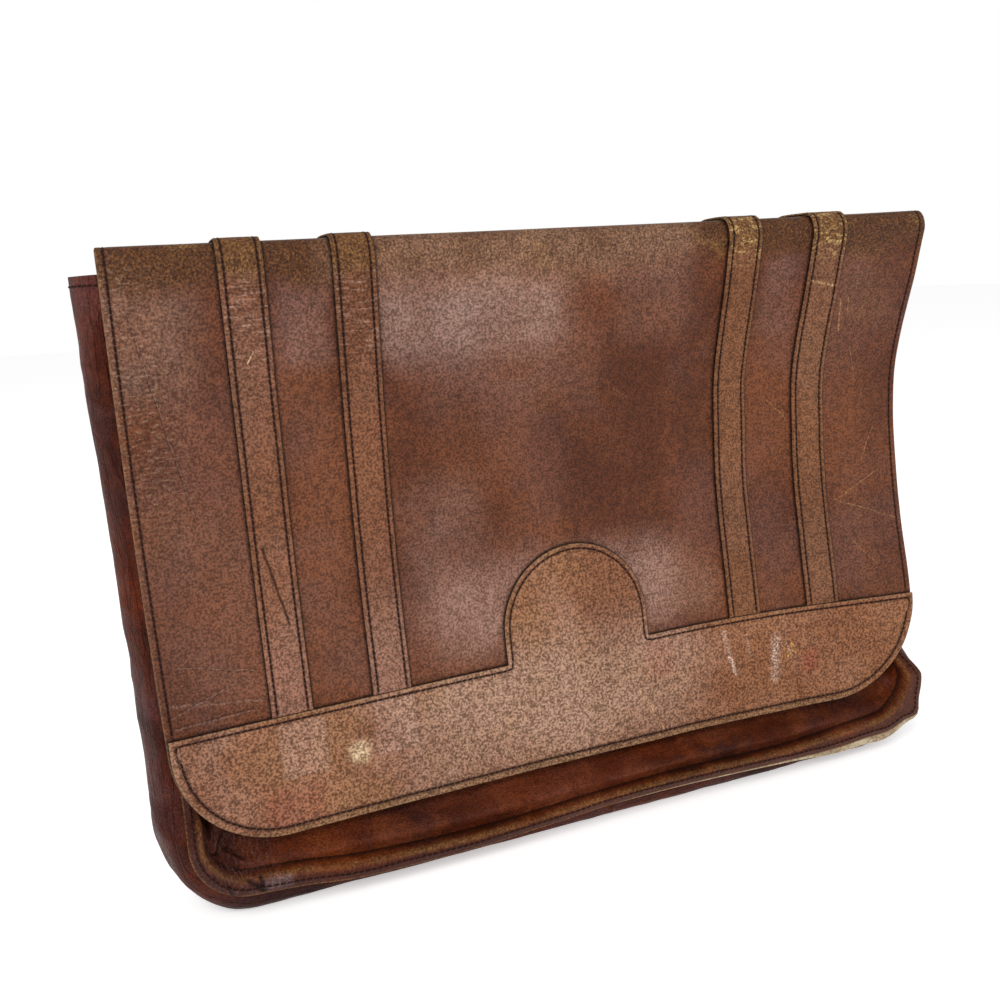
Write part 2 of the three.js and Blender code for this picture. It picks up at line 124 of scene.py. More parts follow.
# Shares that shape the sheets: the flap's sink, the welt's wave, and the gusset's margin
# and wall, each against its stops along or across the piece.
FLAP_DOWN = (0.034, 0.115, 0.29, 0.4, 0.51, 0.625, 0.787, 0.87, 1.0)
FLAP_SHARES = (
    (-0.13, -0.06, 0.13, 0.21, 0.23, 0.17, 0.0, -0.04, -0.08),
    (0.12, 0.23, 0.46, 0.54, 0.54, 0.44, 0.25, 0.19, 0.1),
    (0.29, 0.42, 0.79, 0.86, 0.81, 0.67, 0.4, 0.29, 0.19),
    (0.35, 0.54, 1.0, 1.02, 0.98, 0.77, 0.44, 0.31, 0.17),
    (-0.17, 0.06, 0.57, 0.61, 0.48, 0.27, -0.13, -0.15, -0.13),
)
WELT_ALONG = (0, 0.06, 0.12, 0.18, 0.25, 0.34, 0.42, 0.52, 0.63, 0.78, 0.87, 0.94, 1)
WELT_LIFTS = (1.05, 1.0, 0.75, 0.3, 0.06, -0.06, 0.06, 0.3, 0.37, 0.25, 0.55, 0.85, 1.3)
WELT_REACHES = (1, 1, 0.98, 0.95, 0.85, 0.75, 0.67, 0.62, 0.66, 0.75, 1, 0.9, 0.9)
WELT_OUT = (0.0, 0.08, 0.22, 0.6, 1.0)
WELT_FORWARD = (0.0, 0.55, 1.0, 1.04, 0.94)
RIDGE_OUT = 0.22
MARGIN_ALONG = (1, 0.5, 0)
MARGIN_FORWARD = (0.9, 0.95, 0.72)
MARGIN_END = 0.92
MARGIN_STOPS = (-220, -60, 0, 60, 110, 150, 176, 196, 215)
MARGIN_ENDS = (0.92, 0.94, 1.18, 1.24, 1.3, 1.48, 1.52, 1.4, 1.3)
GUSSET_ACROSS = (0.03, 0.045, 0.08, 0.16, 0.42, 0.66, 0.86, 0.95, 1, 1)
GUSSET_SIDE = (0.34, 0.45, 0.58, 0.74, 0.96, 1, 0.84, 0.62, 0.36, 0.05)
GUSSET_BASE = (0.42, 0.68, 0.88, 1, 1, 1, 1, 0.9, 0.7, 0.36)


def curve_through(stops: np.ndarray, values: np.ndarray, at: np.ndarray) -> np.ndarray:
    """Smooth curve through table values, each slope taken from the two neighbours.

    Args:
        stops: Places of the values, rising.
        values: One value for each stop, or one row of values for each stop.
        at: Places to read, one for each column where values has rows.

    Returns:
        The curve's value at each place.
    """
    stops = np.asarray(stops, float)
    values = np.asarray(values, float)
    place = np.clip(np.asarray(at, float), stops[0], stops[-1])
    last = len(stops) - 1
    index = np.clip(np.searchsorted(stops, place, side="left") - 1, 0, last - 1)
    low = np.maximum(np.arange(last + 1) - 1, 0)
    high = np.minimum(np.arange(last + 1) + 1, last)
    gaps = (stops[high] - stops[low]).reshape((-1,) + (1,) * (values.ndim - 1))
    slopes = (values[high] - values[low]) / gaps
    if values.ndim > 1:

        def pick(rows: np.ndarray, k: np.ndarray) -> np.ndarray:
            """The k-th row's value in each column."""
            return np.take_along_axis(rows, k[None], 0)[0]

    else:

        def pick(rows: np.ndarray, k: np.ndarray) -> np.ndarray:
            """The k-th value."""
            return rows[k]

    span = stops[index + 1] - stops[index]
    u = (place - stops[index]) / span
    rest = 1 - u
    start = (1 + 2 * u) * rest * rest * pick(values, index)
    start = start + u * rest * rest * span * pick(slopes, index)
    end = u * u * (3 - 2 * u) * pick(values, index + 1)
    return start + end - u * u * rest * span * pick(slopes, index + 1)


def smooth_step(value: np.ndarray, low: float, high: float) -> np.ndarray:
    """Eased share of the way from low to high."""
    u = np.clip((np.asarray(value, float) - low) / (high - low), 0, 1)
    return u * u * (3 - 2 * u)


def mix(start: np.ndarray, end: np.ndarray, share: np.ndarray) -> np.ndarray:
    """Value a share of the way from start to end."""
    return start + (end - start) * share


def value_noise(x: np.ndarray, y: np.ndarray, cell: float, seed: int) -> np.ndarray:
    """Smooth noise between -1 and 1 on a plane.

    Args:
        x: First coordinate in millimetres.
        y: Second coordinate in millimetres.
        cell: Size of one cell of the noise in millimetres.
        seed: Number that picks the pattern.

    Returns:
        The noise at each point.
    """
    table = np.random.default_rng(seed).uniform(-1, 1, (64, 64))
    gx, gy = np.asarray(x, float) / cell, np.asarray(y, float) / cell
    ix, iy = np.floor(gx).astype(int), np.floor(gy).astype(int)
    fx, fy = gx - ix, gy - iy
    fx, fy = fx * fx * (3 - 2 * fx), fy * fy * (3 - 2 * fy)
    corner = [[table[(ix + i) % 64, (iy + j) % 64] for j in (0, 1)] for i in (0, 1)]
    near = mix(corner[0][0], corner[1][0], fx)
    far = mix(corner[0][1], corner[1][1], fx)
    return mix(near, far, fy)


class CaseForm:
    """The case's outer face as a surface over x and the run up, over and down the back."""

    def __init__(self, sizes: CaseSizes) -> None:
        """Works out the runs at which the face changes.

        Args:
            sizes: Sizes of the case.
        """
        self.sizes = sizes
        s = sizes
        self.flap_stops = np.array(FLAP_DOWN) * s.flap_drop
        self.flap_values = np.array(FLAP_SHARES) * s.flap_sink
        self.columns = np.linspace(-s.half, s.half, len(FLAP_SHARES))
        self.flap_run = s.flap_drop - s.roll_height
        self.roll_run = math.pi / 4 * (s.roll_height + s.roll_depth)
        self.top_run = s.depth - s.roll_depth - s.back_roll
        self.back_roll_run = math.pi / 2 * s.back_roll
        self.fold_start = self.flap_run + self.roll_run
        self.back_start = self.fold_start + self.top_run
        self.panel_start = self.back_start + self.back_roll_run
        self.full_run = self.panel_start + s.height - s.back_roll - s.back_clear

    def flap_depth(self, x: np.ndarray, down: np.ndarray) -> np.ndarray:
        """Depth of the flap's outer face behind its corner plane.

        Args:
            x: Place across the case.
            down: Distance below the top.

        Returns:
            The depth at each point.
        """
        x, down = np.broadcast_arrays(np.asarray(x, float), np.asarray(down, float))
        rows = np.stack([curve_through(self.flap_stops, v, down.ravel()) for v in self.flap_values])
        return curve_through(self.columns, rows, x.ravel()).reshape(x.shape)

    def back_depth(self, x: np.ndarray, z: np.ndarray) -> np.ndarray:
        """Depth of the back panel's outer face.

        Args:
            x: Place across the case.
            z: Height.

        Returns:
            The depth at each point.
        """
        s = self.sizes
        share = np.asarray(z, float) / s.height
        middle = np.cos(np.asarray(x, float) / s.half * (math.pi / 2))
        return s.depth - s.back_lean * share**2 + s.back_bow * middle * np.sin(math.pi * share)

    def point(self, x: np.ndarray, run: np.ndarray) -> np.ndarray:
        """Points of the outer face.

        Args:
            x: Place across the case.
            run: Run from the flap's lower edge up, over the fold and down the back.

        Returns:
            Points as rows of x, y and z.
        """
        s = self.sizes
        x, run = np.broadcast_arrays(np.asarray(x, float), np.asarray(run, float))
        down = s.flap_drop - np.minimum(run, self.flap_run)
        front = self.flap_depth(x, np.full(x.shape, s.roll_height))
        turn = np.clip((run - self.flap_run) / self.roll_run, 0, 1) * math.pi / 2
        back_turn = np.clip((run - self.back_start) / self.back_roll_run, 0, 1) * math.pi / 2
        roll_top = self.back_depth(x, np.full(x.shape, s.height - s.back_roll)) - s.back_roll
        back_z = s.height - s.back_roll - np.maximum(run - self.panel_start, 0)
        parts = [run <= self.flap_run, run <= self.fold_start, run <= self.back_start]
        parts.append(run <= self.panel_start)
        share = np.clip((run - self.fold_start) / self.top_run, 0, 1)
        y = np.select(
            parts,
            [
                self.flap_depth(x, down),
                front + s.roll_depth * (1 - np.cos(turn)),
                mix(front + s.roll_depth, roll_top, share),
                roll_top + s.back_roll * np.sin(back_turn),
            ],
            self.back_depth(x, back_z),
        )
        z = np.select(
            parts,
            [
                s.height - down,
                s.height - s.roll_height * (1 - np.sin(turn)),
                np.full(x.shape, s.height),
                s.height - s.back_roll * (1 - np.cos(back_turn)),
            ],
            back_z,
        )
        return np.stack([x, y, z], -1)

    def normal(self, x: np.ndarray, run: np.ndarray) -> np.ndarray:
        """Outward normals of the face.

        Args:
            x: Place across the case.
            run: Run up the flap and down the back.

        Returns:
            Unit normals.
        """
        step = 0.5
        across = self.point(x + step, run) - self.point(x - step, run)
        along = self.point(x, run + step) - self.point(x, run - step)
        normal = np.cross(across, along)
        return normal / np.linalg.norm(normal, axis=-1, keepdims=True)

    def relief(self, x: np.ndarray, run: np.ndarray) -> np.ndarray:
        """Slow swells of the worn hide, shared by all that is sewn on it."""
        swell = 0.35 * value_noise(x, run, 34, 3) + 0.16 * value_noise(x, run, 13, 4)
        return swell * smooth_step(np.abs(run - self.flap_run), 4, 30)

    def raised(self, x: np.ndarray, run: np.ndarray, rise: np.ndarray) -> np.ndarray:
        """Points that stand off the face by a rise, following its swells."""
        lift = np.asarray(rise, float) + self.relief(x, run)
        return self.point(x, run) + self.normal(x, run) * lift[..., None]


def to_row(points: np.ndarray) -> np.ndarray:
    """Points in the row frame, in metres."""
    return (np.asarray(points, float) + (0, ROW_SHIFT, 0)) * MM


def edge_distance(points: np.ndarray, outline: np.ndarray) -> np.ndarray:
    """Distance of each point from a closed outline, in millimetres.

    Args:
        points: Points in x and run.
        outline: The outline's corners.

    Returns:
        The distances.
    """
    start = outline
    along = np.roll(outline, -1, axis=0) - start
    length = np.maximum((along**2).sum(1), 1e-12)
    found = np.empty(len(points))
    for first in range(0, len(points), 2000):
        block = points[first : first + 2000, None] - start[None]
        share = np.clip((block * along).sum(-1) / length, 0, 1)
        gap = block - share[..., None] * along
        found[first : first + 2000] = np.sqrt((gap**2).sum(-1).min(1))
    return found


def inside_outline(points: np.ndarray, outline: np.ndarray) -> np.ndarray:
    """Whether each point lies inside a closed outline.

    Args:
        points: Points in x and run.
        outline: The outline's corners.

    Returns:
        True where inside.
    """
    x, y = points[:, 0], points[:, 1]
    inside = np.zeros(len(points), bool)
    ends = np.roll(outline, -1, axis=0)
    for (x0, y0), (x1, y1) in zip(outline, ends):
        if y0 == y1:
            continue
        crosses = (y0 > y) != (y1 > y)
        inside ^= crosses & (x < (x1 - x0) * (y - y0) / (y1 - y0) + x0)
    return inside


def even_line(points: np.ndarray, step: float, closed: bool) -> np.ndarray:
    """Points at even distances along a line.

    Args:
        points: The line's corners.
        step: Distance between two points, which is made to fit.
        closed: Whether the line comes back to its start.

    Returns:
        The new points, with the start once.
    """
    line = np.vstack([points, points[:1]]) if closed else np.asarray(points, float)
    run = np.concatenate([[0], np.cumsum(np.linalg.norm(np.diff(line, axis=0), axis=1))])
    count = max(int(round(run[-1] / step)), 2)
    places = np.linspace(0, run[-1], count + 1)
    if closed:
        places = places[:-1]
    return np.stack([np.interp(places, run, line[:, k]) for k in range(line.shape[1])], 1)


def fine_line(corners: np.ndarray, step: float) -> np.ndarray:
    """A closed outline with extra points on its long sides, keeping every corner.

    Args:
        corners: The outline's corners.
        step: Longest side that is left.

    Returns:
        The new points.
    """
    made: list[np.ndarray] = []
    for start, end in zip(corners, np.roll(corners, -1, axis=0)):
        count = max(int(math.ceil(np.linalg.norm(end - start) / step)), 1)
        made.append(start + (end - start) * (np.arange(count) / count)[:, None])
    return np.vstack(made)


def arc(centre: tuple[float, float], radius: float, start: float, end: float) -> np.ndarray:
    """Points on an arc, its angles in degrees.

    Args:
        centre: Its centre.
        radius: Its radius.
        start: First angle.
        end: Last angle.

    Returns:
        The points.
    """
    count = max(int(abs(math.radians(end - start)) * radius / 1.4), 6)
    turn = np.radians(np.linspace(start, end, count + 1))
    return np.stack([centre[0] + radius * np.cos(turn), centre[1] + radius * np.sin(turn)], 1)


def inset_line(outline: np.ndarray, distance: float) -> np.ndarray:
    """The line that runs inside a closed outline at a distance from it.

    Args:
        outline: The closed outline.
        distance: How far inside.

    Returns:
        The line's points.
    """
    along = np.roll(outline, -1, axis=0) - np.roll(outline, 1, axis=0)
    inward = np.stack([-along[:, 1], along[:, 0]], 1)
    inward /= np.maximum(np.linalg.norm(inward, axis=1, keepdims=True), 1e-9)
    line = outline + inward * distance
    kept = edge_distance(line, outline) > distance * 0.97
    return line[kept]


def kept_stretch(line: np.ndarray, kept: np.ndarray) -> np.ndarray:
    """The kept points of a closed line as one stretch from its first to its last.

    Args:
        line: The closed line.
        kept: Which points to keep.

    Returns:
        The stretch.
    """
    first = int(np.argmax(kept & ~np.roll(kept, 1)))
    order = np.roll(np.arange(len(line)), -first)
    return line[order][kept[order]]


@dataclass(frozen=True)
class CutPiece:
    """A flat cut of leather before it is laid over the case.

    Attributes:
        outline: Closed outline in x and run, counter-clockwise.
        rings: Distances from the edge at which the mesh has a ring of points.
        spacing: Distance between the points inside, in the front and in the back.
        back_from: Run from which the wider spacing holds.
    """

    outline: np.ndarray
    rings: tuple[float, ...]
    spacing: tuple[float, float] = (4.0, 4.0)
    back_from: float = 1e9

    def inner_points(self) -> np.ndarray:
        """Points of a triangular grid well inside the outline.

        Returns:
            The points.
        """
        low, high = self.outline.min(0), self.outline.max(0)
        found = []
        for step, first, last in (
            (self.spacing[0], low[1], min(self.back_from, high[1])),
            (self.spacing[1], self.back_from, high[1]),
        ):
            if last <= first:
                continue
            ys = np.arange(first + step / 2, last, step * 0.866)
            xs = np.arange(low[0], high[0], step)
            grid_x, grid_y = np.meshgrid(xs, ys)
            grid_x = grid_x + (np.arange(len(ys)) % 2)[:, None] * step / 2
            found.append(np.stack([grid_x.ravel(), grid_y.ravel()], 1))
        points = np.vstack(found)
        clear = self.rings[-1] + self.spacing[0] * 0.5
        points = points[inside_outline(points, self.outline)]
        return points[edge_distance(points, self.outline) > clear]

    def triangulated(self) -> tuple[np.ndarray, np.ndarray]:
        """The cut as flat triangles.

        Returns:
            Its points and the corners of its triangles.
        """
        points = [self.inner_points()]
        count = len(points[0])
        edges: list[tuple[int, int]] = []
        for distance in self.rings:
            line = self.outline if distance == 0 else inset_line(self.outline, distance)
            edges += [(count + i, count + (i + 1) % len(line)) for i in range(len(line))]
            points.append(line)
            count += len(line)
        flat = [Vector(p) for p in np.vstack(points)]
        made = delaunay_2d_cdt(flat, edges, [], 1, 1e-5)
        return np.array([tuple(v) for v in made[0]]), np.array(made[2])


def new_object(name: str, points: np.ndarray, faces: np.ndarray) -> bpy.types.Object:
    """A mesh object at the origin, its points given in the case's millimetres.

    Args:
        name: Its name.
        points: Its points.
        faces: Corners of each face.

    Returns:
        The object.
    """
    mesh = bpy.data.meshes.new(name)
    placed = to_row(points)
    placed[:, 2] = np.maximum(placed[:, 2], 0)
    mesh.from_pydata(placed.tolist(), [], [list(map(int, f)) for f in faces])
    mesh.update()
    item = bpy.data.objects.new(name, mesh)
    bpy.context.scene.collection.objects.link(item)
    return item


def set_uv(item: bpy.types.Object, flat: np.ndarray) -> None:
    """Gives a mesh its place on the flat hide as a UV map, in metres.

    Args:
        item: The object.
        flat: Place of each point on the hide, in millimetres.
    """
    layer = item.data.uv_layers.new(name=HIDE_UV)
    corners = np.empty(len(item.data.loops), int)
    item.data.loops.foreach_get("vertex_index", corners)
    layer.data.foreach_set("uv", (flat[corners] * MM).astype(np.float32).ravel())


def set_attribute(item: bpy.types.Object, name: str, values: np.ndarray) -> None:
    """Gives a mesh one number at each point."""
    layer = item.data.attributes.new(name, "FLOAT", "POINT")
    layer.data.foreach_set("value", np.asarray(values, np.float32))


def only(item: bpy.types.Object) -> None:
    """Makes an object the one that is selected and active.

    Args:
        item: The object.
    """
    bpy.ops.object.select_all(action="DESELECT")
    item.select_set(True)
    bpy.context.view_layer.objects.active = item


def give_thickness(item: bpy.types.Object, thickness: float) -> None:
    """Turns a sheet into a wall of leather, with a flesh side and a cut edge.

    Args:
        item: The sheet, its faces pointing out.
        thickness: Thickness in millimetres.
    """
    only(item)
    wall = item.modifiers.new("leather", "SOLIDIFY")
    wall.thickness = thickness * MM
    wall.offset = -1
    wall.use_rim = True
    wall.use_even_offset = False
    wall.material_offset = 1
    wall.material_offset_rim = 2
    bpy.ops.object.modifier_apply(modifier=wall.name)


def rounded_edge(distance: np.ndarray, radius: float = 0.8) -> np.ndarray:
    """How far the grain side falls away at a worn edge."""
    left = np.clip(radius - distance, 0, radius)
    return -(radius - np.sqrt(radius * radius - left * left))


def stitch_groove(distance: np.ndarray, line: float, depth: float = 0.3) -> np.ndarray:
    """How far a row of stitches pulls the leather down."""
    return -depth * np.exp(-(((distance - line) / 0.5) ** 2))


def grid_faces(rows: int, columns: int, turned: bool = False) -> np.ndarray:
    """Quads of a grid whose normal is (next column) x (next row).

    Args:
        rows: Number of rows.
        columns: Points in a row.
        turned: Whether the faces look the other way.

    Returns:
        The corners of each face.
    """
    a = (np.arange(rows - 1)[:, None] * columns + np.arange(columns - 1)[None]).ravel()
    quads = np.stack([a, a + 1, a + columns + 1, a + columns], 1)
    return quads[:, ::-1] if turned else quads


def grid_normals(rows: np.ndarray) -> np.ndarray:
    """Normals of a grid of points, (along its columns) x (along its rows).

    Args:
        rows: The grid.

    Returns:
        One normal for each point.
    """
    across = np.gradient(rows, axis=1)
    along = np.gradient(rows, axis=0)
    normal = np.cross(across, along)
    return normal / np.maximum(np.linalg.norm(normal, axis=-1, keepdims=True), 1e-9)


@dataclass(frozen=True)
class Thread:
    """Thread of a row of stitches.

    Attributes:
        pitch: Distance between two stitches.
        length: Visible length of one stitch.
        radius: Radius of the thread.
        slant: How far a stitch is turned from its row, in degrees.
    """

    pitch: float = 3.0
    length: float = 2.4
    radius: float = 0.44
    slant: float = 5.0


class Stitcher:
    """Makes rows of stitches from one modelled stitch."""

    def __init__(self, thread: Thread) -> None:
        """Models the stitch that every row repeats."""
        self.thread = thread
        self.points, self.faces = self.model_stitch()

    def model_stitch(self) -> tuple[np.ndarray, list[list[int]]]:
        """Models one stitch along x, its middle at the origin.

        Returns:
            Its points in millimetres and its faces.
        """
        bpy.ops.object.select_all(action="DESELECT")
        bpy.ops.mesh.primitive_uv_sphere_add(segments=6, ring_count=5, radius=1)
        ball = bpy.context.active_object
        turn = Matrix.Rotation(math.pi / 2, 4, "Y")
        ball.data.transform(turn)
        points = np.array([tuple(v.co) for v in ball.data.vertices])
        faces = [list(p.vertices) for p in ball.data.polygons]
        bpy.data.objects.remove(ball)
        thread = self.thread
        stretch = np.sign(points[:, 0]) * (thread.length / 2 - thread.radius)
        made = points * thread.radius
        made[:, 0] += np.where(np.abs(points[:, 0]) < 1e-6, 0, stretch)
        made[:, 2] -= 0.25 * thread.radius * (made[:, 0] / (thread.length / 2)) ** 2
        return made, faces

    def sew(self, name: str, rows: list[tuple[np.ndarray, np.ndarray]]) -> bpy.types.Object:
        """Sews rows of stitches as one object.

        Args:
            name: Name of the object.
            rows: For each row, its points on the leather and the leather's normals.

        Returns:
            The object.
        """
        thread = self.thread
        points, faces, count = [], [], 0
        for line, normals in rows:
            both = even_line(np.hstack([line, normals]), thread.pitch, False)
            place, up = both[:, :3], both[:, 3:]
            up = up / np.linalg.norm(up, axis=1, keepdims=True)
            middle = (place[1:] + place[:-1]) / 2
            along = place[1:] - place[:-1]
            along /= np.maximum(np.linalg.norm(along, axis=1, keepdims=True), 1e-9)
            lift = (up[1:] + up[:-1]) / 2
            across = np.cross(lift, along)
            across /= np.maximum(np.linalg.norm(across, axis=1, keepdims=True), 1e-9)
            lift = np.cross(along, across)
            tilt = math.radians(thread.slant)
            turned = along * math.cos(tilt) + across * math.sin(tilt)
            side = across * math.cos(tilt) - along * math.sin(tilt)
            for m, a, c, n in zip(middle, turned, side, lift):
                frame_axes = np.stack([a, c, n])
                points.append(m + n * thread.radius * 0.35 + self.points @ frame_axes)
                faces += [[k + count for k in face] for face in self.faces]
                count += len(self.points)
        item = new_object(name, np.vstack(points), faces)
        only(item)
        bpy.ops.object.shade_smooth()
        return item


class GrooveLine:
    """The groove along the front panel's edge, from the hem down and round to the other hem."""

    def __init__(self, form: CaseForm, side: Side | None, end: float, top_drop: float) -> None:
        """Divides the groove line.

        Args:
            form: The case's form.
            side: The half that the line follows, or none for all of it.
            end: Place along the bottom where a half ends.
            top_drop: How far below the top the line starts.
        """
        self.form = form
        s = form.sizes
        self.free_below = s.flap_end + 0.01 * s.flap_corner
        self.hidden_above = s.flap_end + 0.3 * s.flap_corner
        self.covered, self.free, self.half_turn, self.base = 60, 26, 10, 100
        if side is None:
            left = self.half_line(-1, end, top_drop)
            right = self.half_line(1, end, top_drop)
            line = np.vstack([left, right[:-1][::-1]])
        else:
            line = self.half_line(side.value, end, top_drop)
        self.x, self.z, self.out_x, self.out_z = line.T
        self.side = np.where(self.x < 0, -1.0, 1.0)
        self.work_out()

    def half_line(self, side: float, end: float, top_drop: float) -> np.ndarray:
        """One half's x, z and outward direction, from the hem to its end at the bottom.

        Args:
            side: -1 for the left half and 1 for the right.
            end: Where it ends along the bottom.
            top_drop: How far below the top it starts.

        Returns:
            A row for each point.
        """
        s = self.form.sizes
        edge = s.half - s.groove_inset
        top = s.height - top_drop
        centre_x, centre_z = edge - s.groove_corner, s.groove_height + s.groove_corner
        heights = np.concatenate(
            [
                np.linspace(top, self.hidden_above, self.covered + 1),
                np.linspace(self.hidden_above, centre_z, self.free + 1)[1:],
            ]
        )
        ones = np.ones(len(heights))
        rows = [np.stack([side * edge * ones, heights, side * ones, 0 * ones], 1)]
        turn = np.linspace(0, math.pi / 2, 2 * self.half_turn + 1)[1:]
        out_x, out_z = side * np.cos(turn), -np.sin(turn)
        x = side * centre_x + s.groove_corner * out_x
        rows.append(np.stack([x, centre_z + s.groove_corner * out_z, out_x, out_z], 1))
        x = np.linspace(side * centre_x, end, self.base + 1)[1:]
        ones = np.ones(len(x))
        rows.append(np.stack([x, s.groove_height * ones, 0 * ones, -ones], 1))
        return np.vstack(rows)

    def depth(self, side: np.ndarray, z: np.ndarray) -> np.ndarray:
        """Depth of the groove: free at the bottom, behind the flap above.

        Args:
            side: -1 on the left and 1 on the right.
            z: Height.

        Returns:
            The depth.
        """
        s = self.form.sizes
        flap = self.form.flap_depth(side * s.half, s.height - z)
        behind = flap + s.hide_leather + s.panel_clear + s.groove_set_back
        return mix(s.free_depth, behind, smooth_step(z, self.free_below, self.hidden_above))

    def lift(self, x: np.ndarray, z: np.ndarray) -> np.ndarray:
        """How far the line is lifted: fully along the bottom, fading up the sides.

        Args:
            x: Place across the case.
            z: Height.

        Returns:
            The lift.
        """
        s = self.form.sizes
        low = s.groove_height + s.groove_corner
        fade = 1 - smooth_step(z, low, s.groove_height + 4 * s.groove_corner)
        stops = -s.half + np.array(WELT_ALONG) * s.width
        return curve_through(stops, np.array(WELT_LIFTS) * s.welt_lift, x) * fade

    def work_out(self) -> None:
        """Works out the line's points and how far the welt and the gusset reach."""
        s = self.form.sizes
        lift = self.lift(self.x, self.z)
        self.under = self.out_z**2
        depth = self.depth(self.side, self.z)
        slope = (self.depth(self.side, self.z + 1) - self.depth(self.side, self.z - 1)) / 2
        ear_x = (self.x - (s.half - s.groove_inset)) / s.groove_corner
        ear_z = (self.z - s.groove_height - s.groove_corner / 2) / s.groove_corner
        self.points = np.stack([self.x, depth, self.z + lift], 1)
        self.normals = np.stack([self.out_x, 0 * self.x, self.out_z], 1)
        self.slant = np.hypot(1, slope * (1 - self.under))
        stops = -s.half + np.array(WELT_ALONG) * s.width
        reach = curve_through(stops, np.array(WELT_REACHES) * s.welt_reach, self.x)
        self.reach = reach * mix(s.welt_side_reach, 1, self.under)
        self.full = mix(s.gusset_bulge, s.groove_height + lift, self.under)
        self.ear = s.ear_reach * np.exp(-(ear_x**2) - ear_z**2)
        self.tip = s.tip_reach * np.exp(-(((self.under - 0.42) / 0.16) ** 2)) * (self.x > 0)

    def outside(self, out: np.ndarray, depth: np.ndarray) -> np.ndarray:
        """Points outside the line, by their distance out and depth against the groove.

        Args:
            out: Distance out.
            depth: Distance back.

        Returns:
            The points.
        """
        moved = self.points + self.normals * np.asarray(out)[..., None]
        moved[..., 1] += depth
        return moved

    def welt_out(self, share: float) -> np.ndarray:
        """How far out a row of the welt stands."""
        return share * (self.reach + self.ear) + np.clip(share, 0, 1) ** 4 * self.tip

    def margin_out(self, along: float) -> np.ndarray:
        """How far out a row of the gusset's margin stands, behind the welt.

        Args:
            along: Share of the way from the edge to the turn.

        Returns:
            The distance.
        """
        s = self.form.sizes
        turn = self.welt_out(RIDGE_OUT) + s.panel_leather + s.seam_gap + s.gusset_leather
        shown = curve_through(np.array(MARGIN_STOPS), np.array(MARGIN_ENDS), self.x)
        end = self.welt_out(MARGIN_END + (shown - MARGIN_END) * self.under**0.5)
        return mix(turn, np.maximum(end, turn + s.seam_gap), along)


class Finish(Enum):
    """Names of the record's material slots."""

    FLAP = "flap_leather"
    STRIP = "strip_leather"
    BAND = "band_leather"
    PANEL = "panel_leather"
    GUSSET = "gusset_leather"


Socket = bpy.types.NodeSocket
Colour = tuple[float, float, float, float]


def tone(red: int, green: int, blue: int) -> Colour:
    """A colour given as everyday 0 to 255 values, for a shader.

    Args:
        red: Its red.
        green: Its green.
        blue: Its blue.

    Returns:
        The colour.
    """
    parts = [value / 255 for value in (red, green, blue)]
    light = [p / 12.92 if p < 0.04045 else ((p + 0.055) / 1.055) ** 2.4 for p in parts]
    return (light[0], light[1], light[2], 1.0)


